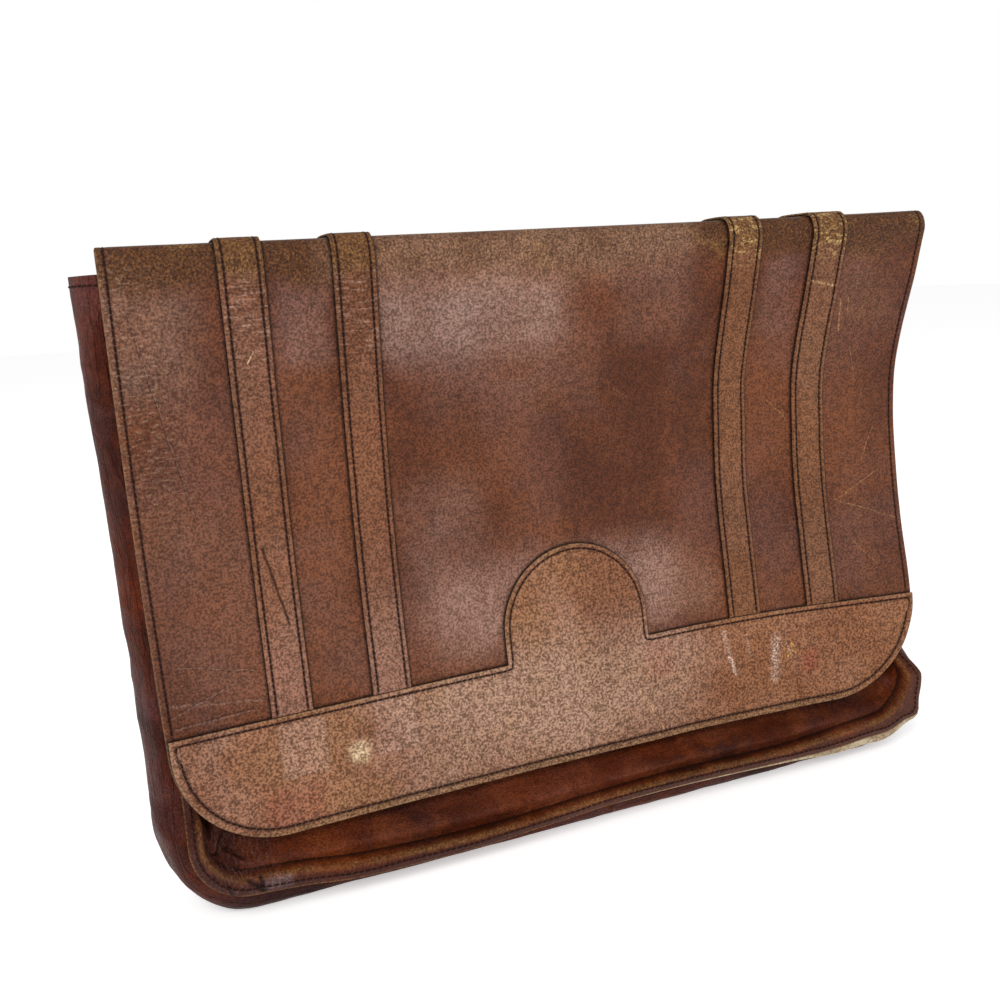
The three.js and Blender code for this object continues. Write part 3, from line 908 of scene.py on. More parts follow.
class Graph:
    """Places nodes in a tree and links them."""

    def __init__(self, tree: bpy.types.NodeTree) -> None:
        """Keeps the tree that the nodes go into."""
        self.tree = tree

    def add(self, kind: str, inputs: dict | None = None, **settings: object) -> bpy.types.Node:
        """Adds a node.

        Args:
            kind: The node's type.
            inputs: Values or sockets for its inputs, by name or number.
            **settings: Properties of the node.

        Returns:
            The node.
        """
        node = self.tree.nodes.new(kind)
        for name, value in settings.items():
            setattr(node, name, value)
        for name, value in (inputs or {}).items():
            self.feed(node.inputs[name], value)
        return node

    def feed(self, socket: Socket, value: object) -> None:
        """Links a socket to an input, or sets the input's value.

        Args:
            socket: The input.
            value: A socket or a plain value.
        """
        if isinstance(value, bpy.types.NodeSocket):
            self.tree.links.new(value, socket)
        else:
            socket.default_value = value

    def math(self, operation: str, first: object, second: object = 0.0, clamp: bool = False) -> Socket:
        """Result of a sum on two numbers."""
        settings = {"operation": operation, "use_clamp": clamp}
        return self.add("ShaderNodeMath", {0: first, 1: second}, **settings).outputs[0]

    def times(self, first: object, second: object, clamp: bool = False) -> Socket:
        """Product of two numbers."""
        return self.math("MULTIPLY", first, second, clamp)

    def plus(self, first: object, second: object) -> Socket:
        """Sum of two numbers."""
        return self.math("ADD", first, second)

    def minus(self, first: object, second: object) -> Socket:
        """Difference of two numbers."""
        return self.math("SUBTRACT", first, second)

    def magnitude(self, value: object) -> Socket:
        """A number without its sign."""
        return self.math("ABSOLUTE", value)

    def vector(self, operation: str, first: object, second: object = (0, 0, 0)) -> bpy.types.Node:
        """Node that works on two vectors."""
        return self.add("ShaderNodeVectorMath", {0: first, 1: second}, operation=operation)

    def step(
        self, value: object, low: object, high: object, start: object = 0.0, end: object = 1.0
    ) -> Socket:
        """Eased change from start to end as the value goes from low to high.

        Args:
            value: What changes.
            low: Where the change starts.
            high: Where it ends.
            start: Result at the start.
            end: Result at the end.

        Returns:
            The result.
        """
        inputs = {"Value": value, "From Min": low, "From Max": high, "To Min": start, "To Max": end}
        node = self.add("ShaderNodeMapRange", inputs, interpolation_type="SMOOTHSTEP")
        return node.outputs["Result"]

    def blend(self, share: object, below: object, above: object, mode: str = "MIX") -> Socket:
        """Two colours laid over each other."""
        inputs = {0: share, 6: below, 7: above}
        return self.add("ShaderNodeMix", inputs, data_type="RGBA", blend_type=mode).outputs[2]

    def noise(
        self, place: object, scale: object, detail: float = 2.0, rough: float = 0.5, space: str = "2D"
    ) -> Socket:
        """Cloudy noise between 0 and 1."""
        inputs = {"Vector": place, "Scale": scale, "Detail": detail, "Roughness": rough}
        return self.add("ShaderNodeTexNoise", inputs, noise_dimensions=space).outputs[0]

    def stretched(self, place: object, scale: tuple, turn: float = 0.0, shift: tuple = (0, 0, 0)) -> Socket:
        """A place with other scales along its axes, after a turn in degrees.

        Args:
            place: The place.
            scale: Scale along each axis.
            turn: The turn.
            shift: A shift after it.

        Returns:
            The new place.
        """
        inputs = {"Vector": place, "Scale": scale, "Location": shift}
        inputs["Rotation"] = (0, 0, math.radians(turn))
        return self.add("ShaderNodeMapping", inputs).outputs[0]

    def cells(self, place: object, scale: object, feature: str = "F1") -> bpy.types.Node:
        """Cell pattern."""
        settings = {"voronoi_dimensions": "2D", "feature": feature}
        return self.add("ShaderNodeTexVoronoi", {"Vector": place, "Scale": scale}, **settings)

    def split(self, place: Socket) -> tuple[Socket, Socket, Socket]:
        """The three parts of a place."""
        made = self.add("ShaderNodeSeparateXYZ", {0: place}).outputs
        return made[0], made[1], made[2]

    def use(self, group: "Effect", inputs: dict) -> bpy.types.Node:
        """Adds a shared effect with its own values.

        Args:
            group: The effect.
            inputs: Its values or sockets, by name.

        Returns:
            The node.
        """
        node = self.add("ShaderNodeGroup")
        node.node_tree = group.tree
        for name, value in inputs.items():
            self.feed(node.inputs[name], value)
        return node


class Effect:
    """A shared effect: a node group with named inputs and outputs."""

    def __init__(self, name: str, inputs: dict[str, object], outputs: dict[str, object]) -> None:
        """Makes the empty group.

        Args:
            name: Name of the effect.
            inputs: Usual value of each input, with None for a place that is always given.
            outputs: 0.0 for a number and None for a place.
        """
        self.tree = bpy.data.node_groups.new(name, "ShaderNodeTree")
        for way, sockets in (("INPUT", inputs), ("OUTPUT", outputs)):
            for label, usual in sockets.items():
                kind = "NodeSocketFloat" if isinstance(usual, float) else "NodeSocketVector"
                made = self.tree.interface.new_socket(name=label, in_out=way, socket_type=kind)
                if way == "INPUT" and usual is not None:
                    made.default_value = usual
        self.graph = Graph(self.tree)
        self.inputs = self.graph.add("NodeGroupInput").outputs
        self.outputs = self.graph.add("NodeGroupOutput").inputs

    def give(self, label: str, socket: Socket) -> None:
        """Links a result to an output."""
        self.tree.links.new(socket, self.outputs[label])


class Effects:
    """The effects that the case's materials share."""

    def __init__(self) -> None:
        """Builds each effect once."""
        self.grain = self.make_grain()
        self.mottle = self.make_mottle()
        self.wear = self.make_wear()
        self.line = self.make_line()
        self.mark = self.make_mark()
        self.patch = self.make_patch()
        self.scratches = self.make_scratches()
        self.loose = self.make_loose()

    def make_loose(self) -> Effect:
        """A place pushed about by noise, so that what is drawn there gets ragged.

        Returns:
            The effect.
        """
        inputs = {"Place": None, "Wander": 0.0022, "Scale": 210.0}
        effect = Effect("Loose place", inputs, {"Place": None})
        g, i = effect.graph, effect.inputs
        feeds = {"Vector": i["Place"], "Scale": i["Scale"], "Detail": 3.0}
        wander = g.add("ShaderNodeTexNoise", feeds, noise_dimensions="2D")
        push = g.vector("SUBTRACT", wander.outputs["Color"], (0.5, 0.5, 0.5)).outputs[0]
        scaled = g.add("ShaderNodeVectorMath", {0: push, 3: i["Wander"]}, operation="SCALE")
        moved = g.vector("ADD", i["Place"], scaled.outputs[0]).outputs[0]
        effect.give("Place", g.vector("MULTIPLY", moved, (1, 1, 0)).outputs[0])
        return effect

    def make_grain(self) -> Effect:
        """Grain of the hide: pebbles, pores and drawn wrinkles.

        Returns:
            The effect.
        """
        inputs = {"Place": None, "Cells": 900.0, "Wrinkles": 90.0, "Wrinkle Depth": 0.4}
        effect = Effect("Leather grain", inputs, {"Height": 0.0, "Speckle": 0.0})
        g, i = effect.graph, effect.inputs
        pebble = g.cells(i["Place"], i["Cells"], "SMOOTH_F1").outputs["Distance"]
        fine = g.noise(i["Place"], g.times(i["Cells"], 1.1), 3.0, 0.65)
        wave = g.noise(i["Place"], i["Wrinkles"], 3.0, 0.55)
        crease = g.magnitude(g.minus(wave, 0.5))
        crease = g.step(crease, 0.0, 0.09, 1.0, 0.0)
        height = g.plus(g.times(pebble, 0.45), g.times(fine, 0.75))
        height = g.minus(height, g.times(crease, i["Wrinkle Depth"]))
        small = g.noise(i["Place"], g.times(i["Cells"], 0.85), 2.0, 0.7)
        slow = g.noise(i["Place"], g.times(i["Cells"], 0.28), 2.0, 0.6)
        both = g.plus(g.times(small, 0.72), g.times(slow, 0.28))
        effect.give("Height", height)
        effect.give("Speckle", g.step(both, 0.39, 0.61))
        return effect

    def make_mottle(self) -> Effect:
        """Uneven colour of a worn hide: clouds, patches and dark freckles.

        Returns:
            The effect.
        """
        inputs = {"Place": None, "Clouds": 11.0, "Patches": 34.0, "Freckles": 170.0}
        outputs = {"Cloud": 0.0, "Patch": 0.0, "Freckle": 0.0}
        effect = Effect("Hide mottle", inputs, outputs)
        g, i = effect.graph, effect.inputs
        cloud = g.noise(i["Place"], i["Clouds"], 3.0, 0.6)
        patch = g.noise(i["Place"], i["Patches"], 3.0, 0.65)
        spots = g.cells(i["Place"], i["Freckles"])
        near = g.step(spots.outputs["Distance"], 0.1, 0.28, 1.0, 0.0)
        chosen = g.step(g.split(spots.outputs["Color"])[0], 0.72, 0.95)
        effect.give("Cloud", g.step(cloud, 0.36, 0.64))
        effect.give("Patch", g.step(patch, 0.42, 0.66))
        effect.give("Freckle", g.times(near, chosen))
        return effect

    def make_wear(self) -> Effect:
        """Rubbed zone along an edge, broken up by noise.

        Returns:
            The effect.
        """
        inputs = {"Place": None, "Distance": 10.0, "Width": 2.0, "Breakup": 0.8}
        effect = Effect("Edge wear", inputs, {"Mask": 0.0})
        g, i = effect.graph, effect.inputs
        cloud = g.noise(i["Place"], 420.0, 4.0, 0.7)
        slow = g.noise(i["Place"], 45.0, 2.0)
        ragged = g.plus(g.times(cloud, 0.8), g.times(slow, 0.9))
        ragged = g.plus(1.0, g.times(g.minus(ragged, 0.85), i["Breakup"]))
        reach = g.times(i["Width"], ragged)
        share = g.math("DIVIDE", i["Distance"], g.math("MAXIMUM", reach, 0.05))
        effect.give("Mask", g.step(share, 0.35, 1.1, 1.0, 0.0))
        return effect

    def make_line(self) -> Effect:
        """Soft line at a distance, such as the dark line along a row of stitches.

        Returns:
            The effect.
        """
        inputs = {"Distance": 0.0, "Line": 3.0, "Width": 0.6}
        effect = Effect("Seam line", inputs, {"Mask": 0.0})
        g, i = effect.graph, effect.inputs
        gap = g.magnitude(g.minus(i["Distance"], i["Line"]))
        effect.give("Mask", g.step(gap, 0.0, i["Width"], 1.0, 0.0))
        return effect

    def make_mark(self) -> Effect:
        """A single drawn mark between two places, such as a scratch or a crease.

        Returns:
            The effect.
        """
        inputs = {"Place": None, "Start": (0.0, 0.0, 0.0), "End": (0.01, 0.0, 0.0), "Width": 0.001}
        effect = Effect("Line mark", inputs, {"Mask": 0.0})
        g, i = effect.graph, effect.inputs
        to_place = g.vector("SUBTRACT", i["Place"], i["Start"]).outputs[0]
        along = g.vector("SUBTRACT", i["End"], i["Start"]).outputs[0]
        part = g.vector("DOT_PRODUCT", to_place, along).outputs["Value"]
        full = g.vector("DOT_PRODUCT", along, along).outputs["Value"]
        share = g.math("DIVIDE", part, full, clamp=True)
        nearest = g.add("ShaderNodeVectorMath", {0: along, 3: share}, operation="SCALE")
        gap = g.vector("DISTANCE", to_place, nearest.outputs[0]).outputs["Value"]
        effect.give("Mask", g.step(gap, 0.0, i["Width"], 1.0, 0.0))
        return effect

    def make_patch(self) -> Effect:
        """A single round or square patch with a soft edge.

        Returns:
            The effect.
        """
        inputs = {
            "Place": None,
            "Centre": (0.0, 0.0, 0.0),
            "Half Size": (0.01, 0.01, 0.0),
            "Soft": 0.003,
        }
        effect = Effect("Patch mark", inputs, {"Mask": 0.0, "Rim": 0.0})
        g, i = effect.graph, effect.inputs
        moved = g.vector("SUBTRACT", i["Place"], i["Centre"]).outputs[0]
        size = g.vector("ABSOLUTE", moved).outputs[0]
        beyond = g.vector("SUBTRACT", size, i["Half Size"]).outputs[0]
        outside = g.vector("MAXIMUM", beyond, (0, 0, 0)).outputs[0]
        gap = g.vector("LENGTH", outside).outputs["Value"]
        mask = g.step(gap, 0.0, i["Soft"], 1.0, 0.0)
        effect.give("Mask", mask)
        rim = g.times(mask, g.minus(1.0, mask))
        effect.give("Rim", g.times(rim, 4.0))
        return effect

    def make_scratches(self) -> Effect:
        """Fine scratches that all run roughly one way.

        Returns:
            The effect.
        """
        inputs = {"Place": None, "Amount": 0.5}
        effect = Effect("Fine scratches", inputs, {"Mask": 0.0})
        g, i = effect.graph, effect.inputs
        masks = []
        for turn, shift in ((38.0, 0.0), (-22.0, 3.0), (74.0, 7.0)):
            place = g.stretched(i["Place"], (1.0, 0.09, 1.0), turn, (shift, 0, 0))
            wave = g.noise(place, 240.0, 2.0, 0.5)
            thin = g.step(g.magnitude(g.minus(wave, 0.5)), 0.0, 0.02, 1.0, 0.0)
            here = g.step(g.noise(i["Place"], 30.0 + shift, 2.0), 0.58, 0.72)
            masks.append(g.times(thin, here))
        both = g.math("MAXIMUM", g.math("MAXIMUM", masks[0], masks[1]), masks[2])
        effect.give("Mask", g.times(both, i["Amount"]))
        return effect


@dataclass(frozen=True)
class LeatherLook:
    """Finish of one kind of leather on the case.

    Attributes:
        name: Name of the material.
        deep: Colour of its dark patches.
        base: Its usual colour.
        light: Colour of its light patches and speckles.
        haze: Purplish-grey painted sheen that lies over parts of it.
        haze_share: How much of the haze there is.
        rubbed: Colour where its edge is worn.
        rubbed_width: Width of the worn edge in millimetres.
        cells: Grain cells per metre.
        wrinkles: Wrinkles per metre.
        wrinkle_depth: Depth of the wrinkles against the grain.
        grain_depth: Height of the grain in metres.
        speckle: How strongly the grain speckles the colour, partly with painted highlights and shade.
        freckle: How strong the dark freckles are.
        rough: Roughness.
        stitch_line: Distance of the stitches from the edge in millimetres.
        scratches: How many fine scratches it has.
        worn: How far the worn edge takes its own colour.
        seam: How dark the line along the stitches is.
        shine: Strength of the polish.
    """

    name: str
    deep: Colour
    base: Colour
    light: Colour
    haze: Colour
    haze_share: float
    rubbed: Colour
    rubbed_width: float = 1.5
    cells: float = 1000.0
    wrinkles: float = 60.0
    wrinkle_depth: float = 0.25
    grain_depth: float = 0.0008
    speckle: float = 0.35
    freckle: float = 0.5
    rough: float = 0.5
    stitch_line: float = 3.0
    scratches: float = 0.4
    worn: float = 0.6
    seam: float = 0.75
    shine: float = 0.17


class Brush:
    """Lays single marks on a leather's colour and height."""

    def __init__(self, g: Graph, effects: Effects, place: Socket, colour: Socket, height: Socket) -> None:
        """Keeps what the marks are laid on.

        Args:
            g: The material's graph.
            effects: The shared effects.
            place: Place on the flat hide in metres.
            colour: Colour so far.
            height: Height so far.
        """
        self.g = g
        self.effects = effects
        self.place = place
        self.colour = colour
        self.height = height
        self.loose = g.use(effects.loose, {"Place": place}).outputs[0]
        gentle = {"Place": place, "Wander": 0.0016, "Scale": 55.0}
        self.steady = g.use(effects.loose, gentle).outputs[0]
        self.fine = g.noise(place, 980.0, 3.0, 0.75)
        self.x, self.run, _ = g.split(place)

    def line(self, start: tuple, end: tuple, width: float) -> Socket:
        """Mask of a drawn mark, its ends and its width in millimetres.

        Args:
            start: Its start.
            end: Its end.
            width: Its width.

        Returns:
            The mask.
        """
        inputs = {
            "Place": self.steady,
            "Start": (start[0] * MM, start[1] * MM, 0),
            "End": (end[0] * MM, end[1] * MM, 0),
            "Width": width * MM,
        }
        return self.g.use(self.effects.mark, inputs).outputs[0]

    def patch(self, centre: tuple, half: tuple, soft: float) -> bpy.types.NodeOutputs:
        """Mask and rim of a patch, its centre and half size in millimetres.

        Args:
            centre: Its centre.
            half: Its half size.
            soft: Width of its soft edge.

        Returns:
            Both masks.
        """
        inputs = {
            "Place": self.loose,
            "Centre": (centre[0] * MM, centre[1] * MM, 0),
            "Half Size": (half[0] * MM, half[1] * MM, 0),
            "Soft": soft * MM,
        }
        return self.g.use(self.effects.patch, inputs).outputs

    def zone(self, value: Socket, low: float, high: float) -> Socket:
        """Share that grows from 0 at one place to 1 at another, both in millimetres.

        Args:
            value: A place in metres.
            low: Where it is 0.
            high: Where it is 1.

        Returns:
            The share.
        """
        if high < low:
            return self.g.step(value, high * MM, low * MM, 1.0, 0.0)
        return self.g.step(value, low * MM, high * MM)

    def both(self, *masks: Socket) -> Socket:
        """Where all the masks are.

        Args:
            *masks: The masks.

        Returns:
            One mask.
        """
        made = masks[0]
        for mask in masks[1:]:
            made = self.g.times(made, mask)
        return made

    def rough(self, mask: Socket, low: float = 0.3, high: float = 0.7, least: float = 0.2) -> Socket:
        """A mask broken up by fine grain."""
        return self.both(mask, self.g.step(self.fine, low, high, least, 1.0))

    def paint(self, mask: Socket, share: float, colour: object) -> None:
        """Lays a colour on where the mask is."""
        self.colour = self.g.blend(self.g.times(mask, share, True), self.colour, colour)

    def press(self, mask: Socket, depth: float) -> None:
        """Presses the leather down where the mask is, or lifts it with a negative depth."""
        self.height = self.g.minus(self.height, self.g.times(mask, depth))

    def wrinkles(
        self, mask: Socket, scale: tuple, turn: float, depth: float, pale: object, share: float
    ) -> None:
        """Lays fine wrinkles that run one way, with pale tops.

        Args:
            mask: Where they are.
            scale: Their stretch along each axis.
            turn: Their turn in degrees.
            depth: How high they stand.
            pale: Colour of their tops.
            share: Share of that colour.
        """
        g = self.g
        lines = g.noise(g.stretched(self.place, scale, turn), 760.0, 3.0, 0.6)
        self.press(self.both(mask, lines), -depth)
        self.paint(self.both(mask, g.step(lines, 0.46, 0.74)), share, pale)


Marks = Callable[[Brush], None]
# Tints of the grain's speckle: partly its own colour, partly painted highlights on its tops and painted
# shade in its hollows; they also colour the pale scratches and dark freckles.
GRAIN_TOPS = (1.72, 1.74, 1.82, 1.0)
GRAIN_HOLLOWS = (0.43, 0.35, 0.31, 1.0)
SEAM_LINE_TINT = tone(38, 15, 8)


def new_material(name: str) -> tuple[bpy.types.Material, Graph, bpy.types.Node]:
    """Starts a material.

    Args:
        name: Name of the material.

    Returns:
        The material, its graph and its shader.
    """
    material = bpy.data.materials.new(name)
    material.use_nodes = True
    tree = material.node_tree
    return material, Graph(tree), tree.nodes["Principled BSDF"]


def leather_material(look: LeatherLook, effects: Effects, marks: Marks) -> bpy.types.Material:
    """Builds the grain side's material of one leather.

    Args:
        look: The leather's finish.
        effects: The shared effects.
        marks: Adds the piece's own marks to its colour and its height.

    Returns:
        The material.
    """
    material, g, shader = new_material(look.name)
    shader.inputs["Specular IOR Level"].default_value = look.shine
    place = g.add("ShaderNodeUVMap", uv_map=HIDE_UV).outputs[0]
    distance = g.add("ShaderNodeAttribute", attribute_name=EDGE_ATTRIBUTE).outputs["Fac"]
    grain = g.use(
        effects.grain,
        {
            "Place": place,
            "Cells": look.cells,
            "Wrinkles": look.wrinkles,
            "Wrinkle Depth": look.wrinkle_depth,
        },
    ).outputs
    mottle = g.use(effects.mottle, {"Place": place}).outputs
    colour = g.blend(mottle["Cloud"], look.deep, look.base)
    colour = g.blend(g.times(mottle["Patch"], 0.45), colour, look.light)
    # Painted sheen: purplish-grey haze laid by noise, a little glossier where it lies.
    far = g.noise(place, 16.0, 3.0, 0.6)
    haze = g.times(g.step(far, 0.42, 0.66), look.haze_share)
    colour = g.blend(haze, colour, look.haze)
    height = grain["Height"]
    brush = Brush(g, effects, place, colour, height)
    marks(brush)
    colour, height = brush.colour, brush.height
    # Speckle: partly the grain's own colour, partly painted highlights and shade on the grain.
    bright = g.blend(1.0, colour, GRAIN_TOPS, "MULTIPLY")
    dark = g.blend(1.0, colour, GRAIN_HOLLOWS, "MULTIPLY")
    speckled = g.blend(grain["Speckle"], dark, bright)
    colour = g.blend(look.speckle, colour, speckled)
    dots = g.times(mottle["Freckle"], look.freckle)
    colour = g.blend(dots, colour, dark)
    lines = g.use(effects.scratches, {"Place": place, "Amount": look.scratches}).outputs[0]
    colour = g.blend(lines, colour, bright)
    sewn = {"Distance": distance, "Line": look.stitch_line, "Width": 1.1}
    seam = g.use(effects.line, sewn).outputs[0]
    colour = g.blend(g.times(seam, look.seam), colour, SEAM_LINE_TINT)
    worn = {"Place": place, "Distance": distance, "Width": look.rubbed_width}
    tops = g.step(grain["Speckle"], 0.1, 0.8, 0.3, 1.0)
    wear = g.times(g.use(effects.wear, worn).outputs[0], tops)
    colour = g.blend(g.times(wear, look.worn), colour, look.rubbed)
    g.feed(shader.inputs["Base Color"], colour)
    gloss = g.times(g.minus(grain["Speckle"], 0.5), 0.12)
    rough = g.plus(g.plus(look.rough, gloss), g.times(wear, 0.2))
    rough = g.minus(rough, g.times(haze, 0.1))
    g.feed(shader.inputs["Roughness"], rough)
    bump = g.add("ShaderNodeBump", {"Strength": 0.8, "Distance": look.grain_depth, "Height": height})
    g.feed(shader.inputs["Normal"], bump.outputs[0])
    return material


@dataclass(frozen=True)
class FibreLook:
    """Finish of a flesh side, a cut edge or a thread.

    Attributes:
        name: Name of the material.
        light: Its light colour.
        dark: Its dark colour.
        fibres: Fibres per metre.
        rough: Roughness.
        depth: Height of the fibres in metres.
    """

    name: str
    light: Colour
    dark: Colour
    fibres: float = 600.0
    rough: float = 0.9
    depth: float = 0.0004

    def material(self) -> bpy.types.Material:
        """Builds the material.

        Returns:
            The material.
        """
        material, g, shader = new_material(self.name)
        place = g.add("ShaderNodeTexCoord").outputs["Object"]
        fine = g.noise(place, self.fibres, 4.0, 0.65, "3D")
        slow = g.noise(place, self.fibres / 14, 3.0, 0.6, "3D")
        share = g.plus(g.times(fine, 0.6), g.times(slow, 0.4))
        colour = g.blend(g.step(share, 0.36, 0.62), self.dark, self.light)
        g.feed(shader.inputs["Base Color"], colour)
        shader.inputs["Roughness"].default_value = self.rough
        shader.inputs["Specular IOR Level"].default_value = 0.15
        bump = g.add("ShaderNodeBump", {"Strength": 0.7, "Distance": self.depth, "Height": fine})
        g.feed(shader.inputs["Normal"], bump.outputs[0])
        return material


STRIP_MIDDLES = (146.0, 99.0)
STRIP_WIDTH = 18.5
STRIP_END = 581.6
BAND_TOP = 56.5
TAB_RADIUS = 39.5
TAB_RISE = 54.0
TAB_CENTRE = BAND_TOP + TAB_RISE - TAB_RADIUS
SHADE_WIDTH = 1.7


def seam_shade(brush: Brush) -> None:
    """Paints the flap's dark contact shadow beside each strip and round the band.

    Args:
        brush: The flap's brush.
    """
    g = brush.g
    across = g.magnitude(brush.x)
    found = []
    for middle in STRIP_MIDDLES:
        off = g.magnitude(g.minus(across, middle * MM))
        beside = brush.zone(off, STRIP_WIDTH / 2 + SHADE_WIDTH, STRIP_WIDTH / 2)
        below = brush.zone(brush.run, STRIP_END + SHADE_WIDTH, STRIP_END)
        found.append(brush.both(beside, below))
    found.append(brush.zone(brush.run, BAND_TOP + SHADE_WIDTH, BAND_TOP))
    rise = g.math("MAXIMUM", g.minus(brush.run, TAB_CENTRE * MM), 0.0)
    from_tab = g.add("ShaderNodeCombineXYZ", {0: brush.x, 1: rise}).outputs[0]
    gap = g.vector("LENGTH", from_tab).outputs["Value"]
    round_tab = brush.zone(gap, TAB_RADIUS + SHADE_WIDTH, TAB_RADIUS)
    found.append(brush.both(round_tab, brush.zone(brush.run, 114, 111)))
    seam = found[0]
    for mask in found[1:]:
        seam = g.math("MAXIMUM", seam, mask)
    # Painted contact shadow where each strip and the band meet the flap.
    brush.paint(seam, 0.85, tone(26, 10, 6))


# Painted sheens: centre, half size, softness, share and colour. Shades: the same without a colour.
# Creases and scratches: start, end, width and, for a scratch, its share.
FLAP_SHEENS = (
    ((-45, 228), (34, 5), 24, 0.8, (148, 122, 110)),
    ((-25, 205), (30, 6), 30, 0.3, (136, 102, 88)),
    ((50, 226), (10, 6), 22, 0.3, (132, 100, 84)),
    ((-186, 226), (8, 10), 24, 0.45, (136, 108, 92)),
    ((-170, 110), (12, 30), 30, 0.3, (124, 94, 82)),
    ((-5, 86), (52, 4), 30, 0.95, (148, 116, 102)),
    ((-64, 110), (6, 30), 24, 0.45, (136, 104, 90)),
    ((60, 76), (16, 3), 20, 0.5, (140, 106, 88)),
    ((-122, 228), (4, 12), 12, 0.5, (132, 102, 92)),
    ((-122, 130), (3, 60), 12, 0.2, (118, 82, 66)),
    ((122, 226), (3, 14), 12, 0.4, (126, 96, 86)),
    ((172, 225), (8, 10), 18, 0.3, (122, 90, 70)),
)
FLAP_SHADES = (
    ((20, 165), (14, 24), 34, 0.35),
    ((-190, 150), (3, 60), 12, 0.35),
    ((190, 140), (4, 70), 14, 0.3),
    ((80, 180), (6, 40), 16, 0.25),
    ((-60, 172), (10, 14), 24, 0.2),
)
FLAP_CREASES = (
    ((-199, 72), (-158, 66), 1.7),
    ((-197, 61), (-162, 62), 1.3),
    ((-198, 66), (-170, 76), 1.0),
    ((-192, 88), (-160, 80), 0.9),
    ((-192, 240), (-176, 150), 0.8),
)
FLAP_SCRATCHES = (
    ((159, 221), (161, 205), 0.7, 0.6),
    ((163, 222), (165, 212), 0.4, 0.4),
    ((174, 224), (172, 210), 0.4, 0.35),
    ((188, 126), (161, 112), 0.45, 0.45),
    ((161, 112), (200, 97), 0.4, 0.4),
    ((186, 150), (178, 132), 0.4, 0.4),
    ((122, 171), (134, 159), 0.4, 0.3),
    ((170, 196), (176, 176), 0.4, 0.3),
    ((168, 90), (182, 74), 0.4, 0.3),
    ((-110, 196), (-104, 192), 0.4, 0.3),
    ((30, 186), (38, 181), 0.4, 0.25),
)


def flap_marks(brush: Brush) -> None:
    """Adds the flap's painted seam shadows, worn fold, painted sheens, creases and scratches.

    Args:
        brush: The flap's brush.
    """
    g = brush.g
    cloud = g.step(g.noise(brush.place, 48.0, 4.0, 0.6), 0.3, 0.66, 0.6, 1.05)
    for centre, half, soft, share in FLAP_SHADES:
        mask = brush.both(brush.patch(centre, half, soft)["Mask"], cloud)
        brush.paint(mask, share, tone(62, 29, 16))
    # Painted sheen: pale pinkish patches that stand in for reflections of the lights.
    for centre, half, soft, share, colour in FLAP_SHEENS:
        mask = brush.both(brush.patch(centre, half, soft)["Mask"], cloud)
        brush.paint(brush.rough(mask, least=0.45), share, tone(*colour))
    wave = g.times(g.minus(g.noise(brush.place, 26.0, 4.0, 0.65), 0.5), 0.02)
    high = g.plus(brush.run, wave)
    fold = brush.both(brush.zone(high, 241, 252.5), brush.zone(brush.run, 330, 300))
    olive = g.blend(g.step(brush.fine, 0.34, 0.72), tone(52, 24, 9), tone(102, 66, 30))
    brush.paint(fold, 0.85, olive)
    gold = brush.both(fold, g.step(g.noise(brush.place, 34.0, 4.0, 0.7), 0.52, 0.66))
    brush.paint(brush.rough(gold, 0.35, 0.7, 0.1), 0.6, tone(140, 106, 56))
    # Painted highlight where the flap starts to roll over the fold.
    fold_highlight = brush.both(brush.patch((-20, 256), (80, 4), 22)["Mask"], cloud)
    brush.paint(brush.rough(fold_highlight, least=0.35), 0.5, tone(158, 122, 98))
    for start, end, width in FLAP_CREASES:
        mask = brush.line(start, end, width)
        brush.press(mask, 1.8)
        # Pale painted highlight along each crease.
        brush.paint(brush.rough(mask), 0.25, tone(170, 138, 124))
    for start, end, width, share in FLAP_SCRATCHES:
        brush.paint(brush.rough(brush.line(start, end, width)), share, tone(196, 156, 100))
    near = brush.both(brush.zone(brush.x, -165, -192), brush.zone(brush.run, 110, 190))
    near = brush.both(near, brush.zone(brush.run, 262, 250))
    brush.wrinkles(near, (0.3, 1.0, 1.0), -14.0, 1.2, tone(170, 138, 112), 0.3)
    seam_shade(brush)


# Scuffs: start, end, width and share. Stains: centre, half size, softness and share.
BAND_SCUFFS = (
    ((85, 50), (89, 28), 2.4, 0.4),
    ((87, 36), (90, 26), 1.6, 0.75),
    ((116, 42), (114, 20), 5.0, 0.4),
    ((116, 38), (114, 30), 2.4, 0.5),
    ((98, 46), (100, 34), 1.5, 0.3),
    ((121, 40), (125, 30), 1.2, 0.35),
)
BAND_STAINS = (
    ((136, 27), (1, 3), 7, 0.4),
    ((-150, 12), (8, 5), 10, 0.25),
    ((45, 42), (4, 6), 9, 0.2),
)


